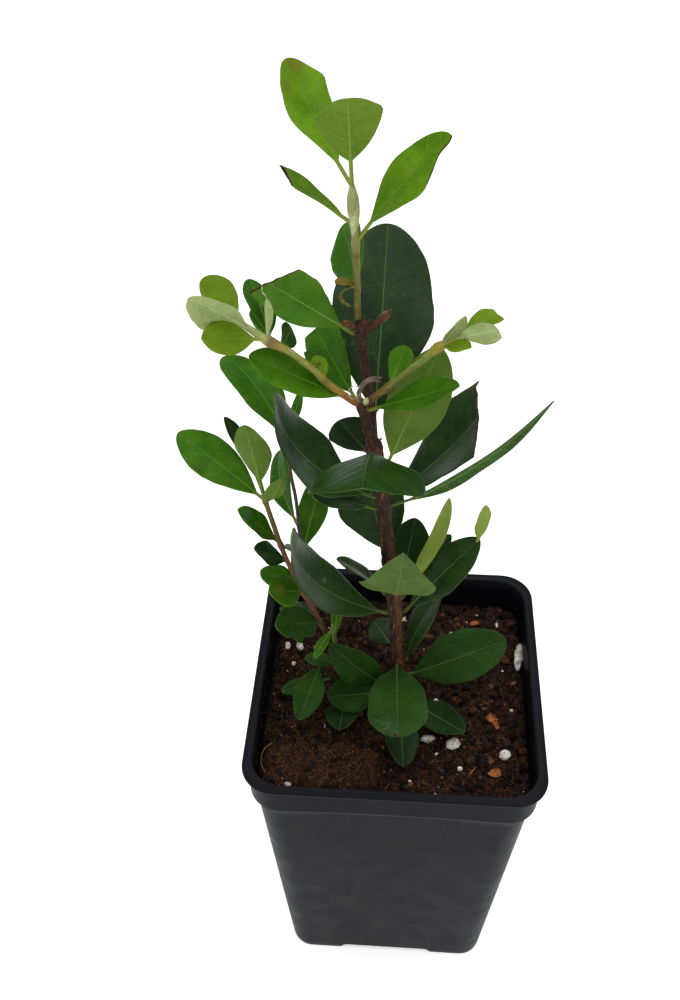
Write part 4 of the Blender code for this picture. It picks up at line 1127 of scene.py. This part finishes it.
buds = (  # x, y, z, radius, longer, rise
    (-13.6, -0.7, 275.6, 0.95, 3.9, 84), (-14.3, -0.5, 277.0, 0.8, 3.4, 94),
    (-10.6, -5.4, 231.0, 0.75, 1.5, 70), (1.1, -0.3, 146.6, 0.6, 1.7, 60),
)
threads = (  # radius, then its points
    (0.13, (-34.1, -3.0, 260.4), (-33.9, -3.8, 259.2), (-33.2, -4.0, 258.5), (-32.9, -4.6, 257.4),
     (-32.2, -5.0, 256.2)),
    (0.16, (-12.0, -4.9, 231.6), (-13.6, -5.8, 231.9), (-14.7, -6.3, 233.4), (-14.6, -6.5, 235.1),
     (-13.4, -6.5, 236.3), (-12.3, -6.0, 235.8)),
)
curl = {  # the dried leaf that curls down beside the leader
    "path": ((-13.4, -0.7, 259.4), (-15.0, -1.6, 259.6), (-16.6, -2.4, 258.4), (-15.8, -2.6, 256.6),
             (-14.4, -1.8, 255.0)),
    "width": 1.1, "thickness": 0.12,
}
down = {
    "count": 5200, "length": (0.12, 0.42), "radius": 0.022, "seed": 41,
    "stems": ("leader", "left branch", "right branch"), "from": {"leader": 268.0},
}


def addSmallParts():
    heap = Heap()
    for x, y, z, radius, longer, rise in buds:
        spots, faces = balls[3]
        shape = spots * np.array((radius, radius, radius * longer))
        shape[:, :2] *= 1 - 0.35 * np.abs(spots[:, 2:3]) ** 1.5
        lean = np.array(Matrix.Rotation(math.radians(90 - rise), 3, "Y"))
        heap.add(shape @ lean.T + np.array((x, y, z)), faces)
    made = heap.piece("buds", [budFinish])
    heap = Heap()
    for radius, *points in threads:
        path = smoothPath([(*point, radius) for point in points], 0.25)
        heap.add(*strand(path[:, :3], [radius * (0.8 + 0.3 * math.sin(number))
                                       for number in range(len(path))], 6))
    made = heap.piece("dryThreads", [threadFinish])
    path = smoothPath([(*point, 0.0) for point in curl["path"]], 0.25)[:, :3]
    points = []
    for number, spot in enumerate(path):
        share = number / (len(path) - 1)
        wide = curl["width"] * math.sin(math.pi * (0.08 + 0.86 * share)) ** 0.7
        for y, z in ((-wide, 0.0), (0.0, curl["thickness"] + 0.25), (wide, 0.0),
                     (0.0, 0.25 - curl["thickness"])):
            points.append(spot + np.array((0.35 * y, y, z)))
    made = addPiece("curledLeaf", points, ringFaces(len(path), 4), [curlFinish])
    draw = random.Random(down["seed"])
    heap = Heap()
    for _ in range(down["count"]):
        stem = draw.choice(down["stems"])
        path = stems[stem]
        number, share = draw.randrange(len(path) - 1), draw.random()
        centre = Vector(path[number][:3]).lerp(Vector(path[number + 1][:3]), share)
        radius = path[number][3] + (path[number + 1][3] - path[number][3]) * share
        if centre.z < down["from"].get(stem, 0):
            continue
        aim = stray(draw).normalized()
        curled = stray(draw, 0.5)
        root = centre + aim * radius * 0.9
        tip = root + (aim + curled) * draw.uniform(*down["length"])
        across = aim.orthogonal().normalized() * down["radius"]
        other = aim.cross(across)
        heap.add([root + across, root - across * 0.5 + other, root - across * 0.5 - other, tip],
                 [(0, 1, 3), (1, 2, 3), (2, 0, 3), (0, 2, 1)])
    made = heap.piece("down", [hairFinish], smooth=False)
    print("buds, threads and down", heap.count)


# pot

pot = {
    "height": 120.0, "rimHalf": 44.5, "lipReach": 1.5, "lipDepth": 1.6, "wall": 1.4,
    "ledge": 106.9, "ledgeStep": 1.4,
    "topHalf": 41.4, "footHalf": 34.3, "corner": 10.0, "cornerShrink": 0.25, "floor": 5.0, "footRound": 1.0,
    "notchHeight": 3.0, "notchWidth": 29.0, "notchSlope": 3.0, "padHalf": 12.0,
    "drainRadius": 3.0, "drainReach": 22.0,
    "cornerSteps": 12, "sideSteps": 16, "arch": 0.9,
}
ringSize = 4 * (pot["cornerSteps"] + pot["sideSteps"])  # points round the pot


def roundedSquare(half, height, radius, arch=0.0):
    ring = []
    for corner in range(4):
        turn = Matrix.Rotation(math.radians(90 * corner), 3, "Z")
        for step in range(pot["sideSteps"]):
            run = 2 * step / pot["sideSteps"] - 1
            ring.append(turn @ Vector((half, (half - radius) * run, height + arch * (1 - run * run))))
        for step in range(pot["cornerSteps"]):
            angle = math.radians(90 * step / pot["cornerSteps"])
            spot = Vector((half - radius + radius * math.cos(angle),
                           half - radius + radius * math.sin(angle), height))
            ring.append(turn @ spot)
    return ring


def cornerAt(half):
    return pot["corner"] - (pot["rimHalf"] - half) * pot["cornerShrink"]


def arc(centre, radius, start, end, steps):
    turns = [math.radians(start + (end - start) * step / steps) for step in range(steps + 1)]
    return [(centre[0] + radius * math.cos(turn), centre[1] + radius * math.sin(turn)) for turn in turns]


def potProfile():  # half width, height, wear with painted highlight, and how much of the arch it takes
    wall, height, collar = pot["wall"], pot["height"], pot["rimHalf"] - pot["lipReach"]
    foot, top, ledge = pot["footHalf"], pot["topHalf"], pot["ledge"]
    lip, rounding, edge = pot["lipDepth"] / 2, pot["footRound"], 0.45
    rows = [(foot - rounding - 0.01, 0, 0, 0)]
    rows += [(x, z, 0.2, 0) for x, z in arc((foot - rounding, rounding), rounding, -90, 0, 4)]
    for share in (0.02, 0.15, 0.3, 0.45, 0.6, 0.75, 0.88, 0.96, 1.0):
        rows.append((foot + (top - foot) * share, rounding + (ledge - 0.4 - rounding) * share, 0,
                     share ** 12))
    rows.append((top + 0.25, ledge - 0.08, 0, 1))
    step = (top + pot["ledgeStep"] - edge, ledge + edge)
    # the ledge's rounded step carries a strong painted highlight line
    rows += [(x, z, 0.9 if number < 4 else 0.3, 1)
             for number, (x, z) in enumerate(arc(step, edge, -90, 10, 5))]
    rows += [(top + pot["ledgeStep"] - 0.02, ledge + 1.2, 0, 0.8),
             (collar - 0.06, height - pot["lipDepth"] - 1.2, 0, 0)]
    rows += [(collar, height - pot["lipDepth"] + 0.1, 0, 0)]
    rows += [(x, z, 0.04, 0) for x, z in arc((pot["rimHalf"] - lip, height - lip), lip, -70, 90, 8)]
    rows += [(collar - wall + 0.9, height, 0.08, 0)]
    rows += [(x, z, 0.1, 0) for x, z in arc((collar - wall + 0.8, height - 0.8), 0.8, 90, 180, 4)]
    rows += [(collar - wall - 0.06, height - 5, 0, 0), (top + pot["ledgeStep"] - wall, ledge + 0.6, 0, 0),
             (top + pot["ledgeStep"] - wall, ledge, 0, 0), (top - wall, ledge - wall, 0, 0),
             (foot - wall, pot["floor"], 0, 0)]
    return rows


def cutter(name, points, faces):
    mesh = bpy.data.meshes.new(name)
    mesh.from_pydata((np.asarray(points) * mm).tolist(), [], faces)
    work = bmesh.new()
    work.from_mesh(mesh)
    bmesh.ops.recalc_face_normals(work, faces=work.faces)
    work.to_mesh(mesh)
    work.free()
    return bpy.data.objects.new(name, mesh)


def addPot():
    points, wear = [], []
    profile = potProfile()
    for half, height, wearAndHighlightShare, arched in profile:
        ring = roundedSquare(half, height, cornerAt(half), pot["arch"] * arched)
        points += ring
        wear += [wearAndHighlightShare] * len(ring)
    made = addPiece("nurseryPot", points, ringFaces(len(profile), ringSize), [potFinish], {"wear": wear})
    tools = bpy.data.collections.new("pot cuts")
    foot, reach = pot["notchWidth"] / 2 + pot["notchSlope"], pot["footHalf"] + 2
    high, slope = pot["notchHeight"], pot["notchSlope"]
    rise = [(-1, -1), (0, 0), (0.3, 0.07), (0.6, 0.32), (1, 0.75), (1.35, 0.96), (1.8, 1)]
    left = [(-foot + slope * step / 1.4, high * up if up > 0 else up) for step, up in rise]
    section = left + [(-x, z) for x, z in reversed(left)]
    for turn in (0, 90, 180, 270):
        rotate = Matrix.Rotation(math.radians(turn), 3, "Z")
        spots = [rotate @ Vector((x, y, z)) for y in (-reach, -pot["padHalf"]) for x, z in section]
        tools.objects.link(cutter(f"notch {turn}", spots, ringFaces(2, len(section))))
        radius = pot["drainRadius"]
        hole = [rotate @ Vector((radius * math.cos(a), -pot["drainReach"] + radius * math.sin(a), z))
                for z in (-1, pot["floor"] + 1) for a in np.linspace(0, 2 * math.pi, 25)[:-1]]
        tools.objects.link(cutter(f"drain {turn}", hole, ringFaces(2, 24)))
    bpy.context.scene.collection.children.link(tools)
    step = made.modifiers.new("cuts", "BOOLEAN")
    step.operation, step.solver = "DIFFERENCE", "EXACT"
    step.operand_type, step.collection = "COLLECTION", tools
    mesh = bpy.data.meshes.new_from_object(made.evaluated_get(bpy.context.evaluated_depsgraph_get()))
    made.modifiers.clear()
    made.data = mesh
    mesh.shade_smooth()
    mesh.set_sharp_from_angle(angle=math.radians(50))
    for tool in list(tools.objects):
        bpy.data.objects.remove(tool, do_unlink=True)
    bpy.data.collections.remove(tools)
    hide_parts("pot")
    print("pot")


# soil

soil = {
    "height": 107.6, "edgeDrop": 0.9, "bump": 1.3, "pitch": 7.7, "cell": 0.42, "half": 41.1, "clearance": 0.3,
    "moundCentre": (-24.0, -27.0), "moundReach": (20.0, 8.0), "moundRise": 2.2,
    "cornerRadius": 8.7, "lumpPitch": 3.4, "lumpHeight": 1.75, "gritPitch": 1.1, "gritHeight": 0.8,
    "loamCentre": (-22.0, -27.2), "loamHalf": (17.6, 7.4),  # the paler strip
    "stemX": 0.3, "stemHole": 2.6,  # kept clear round the trunk
}


def soilRise(x, y):
    mound = ((x - soil["moundCentre"][0]) / soil["moundReach"][0]) ** 2
    mound += ((y - soil["moundCentre"][1]) / soil["moundReach"][1]) ** 2
    bump = soil["bump"] * noise.noise(Vector((x, y, 0)) / soil["pitch"])
    return bump + soil["moundRise"] * math.exp(-mound)


def loamAt(x, y):  # 1 on the paler strip at the front left
    across = (x - soil["loamCentre"][0]) / soil["loamHalf"][0]
    back = (y - soil["loamCentre"][1]) / soil["loamHalf"][1]
    ragged = 0.25 * noise.noise(Vector((x, y, 3)) / 2.5)
    return float(1 - soft(across ** 6 + back ** 4 + ragged, 0.55, 1.1))


def soilAt(x, y):
    spot = Vector((x, y, 0))
    loam = loamAt(x, y)
    lumps = noise.fractal(spot / soil["lumpPitch"], 0.75, 2.2, 4)
    grit = noise.turbulence(spot / soil["gritPitch"], 3, False)
    calm = 1 - 0.65 * loam
    edge = max(abs(x), abs(y)) / soil["half"]
    drop = soil["edgeDrop"] * float(soft(edge, 0.9, 1.0)) + 1.6 * loam * float(soft(-lumps, 0.1, 0.9))
    rough = (lumps * soil["lumpHeight"] + grit * soil["gritHeight"]) * calm
    return soil["height"] + soilRise(x, y) + rough + 0.5 * loam - drop, lumps, grit, loam


def insideSoil(x, y, grow=0.0):
    half, radius = soil["half"] + grow, soil["cornerRadius"]
    dx, dy = max(abs(x) - (half - radius), 0), max(abs(y) - (half - radius), 0)
    return math.hypot(dx, dy) <= radius


def addSoil():
    cell, half = soil["cell"], soil["half"]
    count = int(half / cell)
    index, points, pit, loamy = {}, [], [], []
    for i in range(-count, count + 1):
        for j in range(-count, count + 1):
            x, y = i * cell, j * cell
            if not insideSoil(x, y):
                continue
            z, lumps, grit, loam = soilAt(x, y)
            index[i, j] = len(points)
            points.append((x, y, z))
            # painted shade in the hollows, weaker on the paler strip
            pit.append(float(soft(-lumps - grit * 0.7, 0.05, 0.75)) * (1 - 0.6 * loam))
            loamy.append(loam)
    faces = [(index[i, j], index[i + 1, j], index[i + 1, j + 1], index[i, j + 1]) for i, j in index
             if (i + 1, j) in index and (i, j + 1) in index and (i + 1, j + 1) in index]
    heap = Heap()
    heap.add(points, faces, 0, pit=pit, loam=loamy)
    wall, clear = pot["wall"], soil["clearance"]
    body = []
    for reach, height in ((pot["footHalf"] - wall - clear, pot["floor"] + clear),
                          (pot["topHalf"] - wall - clear - 0.2, soil["height"] - 4)):
        body += roundedSquare(reach, height, cornerAt(reach))
    floor = [tuple(reversed(range(ringSize)))]
    # the hidden sides and floor of the soil take a middling painted shade
    heap.add(body, ringFaces(2, ringSize, caps=False) + floor, 0, pit=0.4, loam=0.0)
    made = heap.piece("pottingSoil", [groundFinish])
    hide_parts("potting_soil")
    print("soil", len(faces))


def nearStem(x, y):
    return math.hypot(x - soil["stemX"], y) < soil["stemHole"]


crumbs = {
    "count": 5200, "size": (0.18, 0.7), "clods": 420, "clodSize": (0.6, 1.6), "run": (-40.3, 40.3),
    "wallSpecks": 34, "speckSize": (0.12, 0.34),  # on the left inner wall
    "wallX": -41.5, "wallRun": (-30, 14), "wallRise": (109, 116.5), "seed": 5,
}


def addCrumbs():
    draw = random.Random(crumbs["seed"])
    heap = Heap()
    for number in range(crumbs["count"] + crumbs["clods"]):
        x, y = draw.uniform(*crumbs["run"]), draw.uniform(*crumbs["run"])
        big = number >= crumbs["count"]
        loam = loamAt(x, y) > 0.4
        if not insideSoil(x, y, -1.6 if big else -0.7) or nearStem(x, y) or (big and loam):
            continue
        size = draw.uniform(*(crumbs["clodSize"] if big else crumbs["size"]))
        size *= 0.7 if loam and not big else 1
        z, lumps, _, _ = soilAt(x, y)
        shape = (1, draw.uniform(0.6, 1), draw.uniform(0.45, 0.9))
        tone = min(1.0, max(0.0, draw.gauss(0.46 if loam else 0.34, 0.2) + 0.25 * lumps))
        spots, faces = lump(2 if big else 1, (x, y, z + size * draw.uniform(-0.25, 0.35)), size, shape, draw,
                            0.7 if big else 0.45)
        heap.add(spots, faces, tone=tone)
    for _ in range(crumbs["wallSpecks"]):
        y, z = draw.uniform(*crumbs["wallRun"]), draw.uniform(*crumbs["wallRise"])
        size = draw.uniform(*crumbs["speckSize"])
        spots, faces = lump(1, (crumbs["wallX"] + size * 0.3, y, z), size, (0.5, 1, 1), draw, 0.4)
        heap.add(spots, faces, tone=draw.uniform(0.3, 0.95))
    made = heap.piece("peatCrumbs", [crumbFinish])
    print("crumbs", heap.count)


fibres = {
    "count": 3300, "length": 3.8, "run": (-40, 40), "radius": (0.035, 0.09), "shortest": 0.8, "lift": 0.45,
    "loamCount": 2400, "loamLength": 2.6, "loamRun": (-39.5, -4), "loamDepth": (-35, -19.5),
    "reach": 40.4,  # none lies further out
    "long": (  # round the end of the paler strip
        (-38.6, -31.2, 109.2), (-39.9, -29.0, 109.9), (-40.3, -26.2, 110.2), (-39.6, -23.4, 110.2),
        (-37.6, -21.2, 110.0),
    ),
    "longRadius": 0.13, "seed": 6,
}


def fibreAt(draw, x, y, length):
    heading, bend = draw.uniform(0, 6.28), draw.uniform(-1.6, 1.6)
    arch = draw.uniform(0.0, 0.5) * length * fibres["lift"]
    points = []
    for step in range(6):
        share = step / 5
        turn = heading + bend * (share - 0.5)
        px, py = x + length * (share - 0.5) * math.cos(turn), y + length * (share - 0.5) * math.sin(turn)
        reach = max(abs(px), abs(py))
        if reach > fibres["reach"]:
            px, py = px * fibres["reach"] / reach, py * fibres["reach"] / reach
        points.append((px, py, soilAt(px, py)[0] + 0.1 + arch * math.sin(math.pi * share)
                       + draw.uniform(-0.08, 0.15)))
    return points


def addFibres():
    draw = random.Random(fibres["seed"])
    heap = Heap()
    for number in range(fibres["count"] + fibres["loamCount"]):
        onLoam = number >= fibres["count"]
        x = draw.uniform(*(fibres["loamRun"] if onLoam else fibres["run"]))
        y = draw.uniform(*(fibres["loamDepth"] if onLoam else fibres["run"]))
        if not insideSoil(x, y, -1.5) or nearStem(x, y) or (onLoam and loamAt(x, y) < 0.5):
            continue
        longest = fibres["loamLength"] if onLoam else fibres["length"]
        points = fibreAt(draw, x, y, draw.uniform(fibres["shortest"], longest))
        radius = draw.uniform(*fibres["radius"])
        spots, faces = strand(points, [radius * 0.4] + [radius] * 4 + [radius * 0.4])
        heap.add(spots, faces, tone=min(1.0, max(0.0, draw.gauss(0.42 if onLoam else 0.45, 0.2))))
    path = smoothPath([(*point, 0.14) for point in fibres["long"]], 0.4)
    spots, faces = strand(path[:, :3], [fibres["longRadius"]] * len(path), 5)
    heap.add(spots, faces, tone=0.85)
    made = heap.piece("coirFibres", [fibreFinish])
    print("fibres", heap.count)


perlite = {  # x, y, size, shape and turn
    "grains": (
        (40.3, 18.6, 1.9, (0.85, 2.7, 0.8), -8), (-36.8, 18.6, 1.0, (0.9, 1.6, 0.9), 5),
        (-32.6, 17.6, 1.1, (1, 1.5, 0.9), 20), (-34.0, 10.8, 0.75, (1, 1.1, 0.8), 0),
        (-31.5, -34.5, 1.05, (1, 0.8, 0.8), 5), (18.3, 27.5, 1.1, (1.1, 0.9, 0.8), 0),
        (33.7, 32.9, 0.7, (0.8, 2.2, 0.8), 0), (12.8, -1.7, 0.9, (1, 1.1, 0.8), 0),
        (10.3, -15.5, 1.9, (1.15, 0.8, 0.6), 0), (18.0, -17.9, 2.1, (1.1, 0.85, 0.55), 25),
        (33.8, -20.2, 1.7, (1.1, 0.9, 0.7), 40), (20.0, -25.6, 0.8, (1, 1, 0.8), 0),
        (36.9, -2.6, 0.6, (1, 1.1, 0.8), 0), (9.5, 29.2, 0.6, (1, 1, 0.8), 0),
        (13.0, -21.0, 0.6, (1, 1, 0.8), 0), (-30.0, -2.0, 0.5, (1, 1.2, 0.8), 0),
        (-22.0, -12.0, 0.55, (1, 1.3, 0.8), 0), (27.0, 36.5, 0.4, (1, 1, 0.8), 0),
        (5.0, -30.0, 0.7, (1, 1, 0.8), 0), (34.5, 12.0, 0.4, (1, 1, 0.8), 0),
        (36.6, -12.8, 0.6, (1, 0.8, 0.8), 30), (23.5, 33.0, 0.45, (0.7, 1.6, 0.7), 20),
        (38.5, -34.5, 0.55, (1, 1, 0.8), 0), (12.5, -35.0, 0.4, (1, 1, 0.8), 0),
    ),
    "dust": 70, "dustRun": (-39, 39), "dustSize": (0.1, 0.3), "seed": 21,
}
chips = (  # x, y, half sizes and turn
    (30.4, -7.0, (1.5, 2.1, 0.35), 35), (31.6, -9.2, (0.8, 1.5, 0.3), 10),
    (22.7, -27.9, (0.32, 2.9, 0.3), -38),
    (30.5, -26.5, (2.1, 1.5, 0.4), 20), (26.0, 31.5, (1.7, 0.9, 0.35), 15),
)


def addGrains():
    draw = random.Random(perlite["seed"])
    heap = Heap()
    for x, y, size, shape, turn in perlite["grains"]:
        heap.add(*lump(3, (x, y, soilAt(x, y)[0] + size * 0.45), size, shape, draw, 0.3, turn))
    for _ in range(perlite["dust"]):
        x, y = draw.uniform(*perlite["dustRun"]), draw.uniform(*perlite["dustRun"])
        if insideSoil(x, y, -1.5):
            size = draw.uniform(*perlite["dustSize"])
            heap.add(*lump(1, (x, y, soilAt(x, y)[0] + size * 0.6), size, (1, 0.8, 0.8), draw, 0.4))
    made = heap.piece("perliteGrains", [perliteFinish])
    heap = Heap()
    for x, y, shape, turn in chips:
        heap.add(*lump(3, (x, y, soilAt(x, y)[0] + 0.7), 1.0, shape, draw, 0.45, turn))
    made = heap.piece("barkChips", [chipFinish])
    print("grains")


addCamera()
addStudio(floorLook())
addPot()
addSoil()
addCrumbs()
addFibres()
addGrains()
addStems()
addPlant()
addFlakes()
addSmallParts()
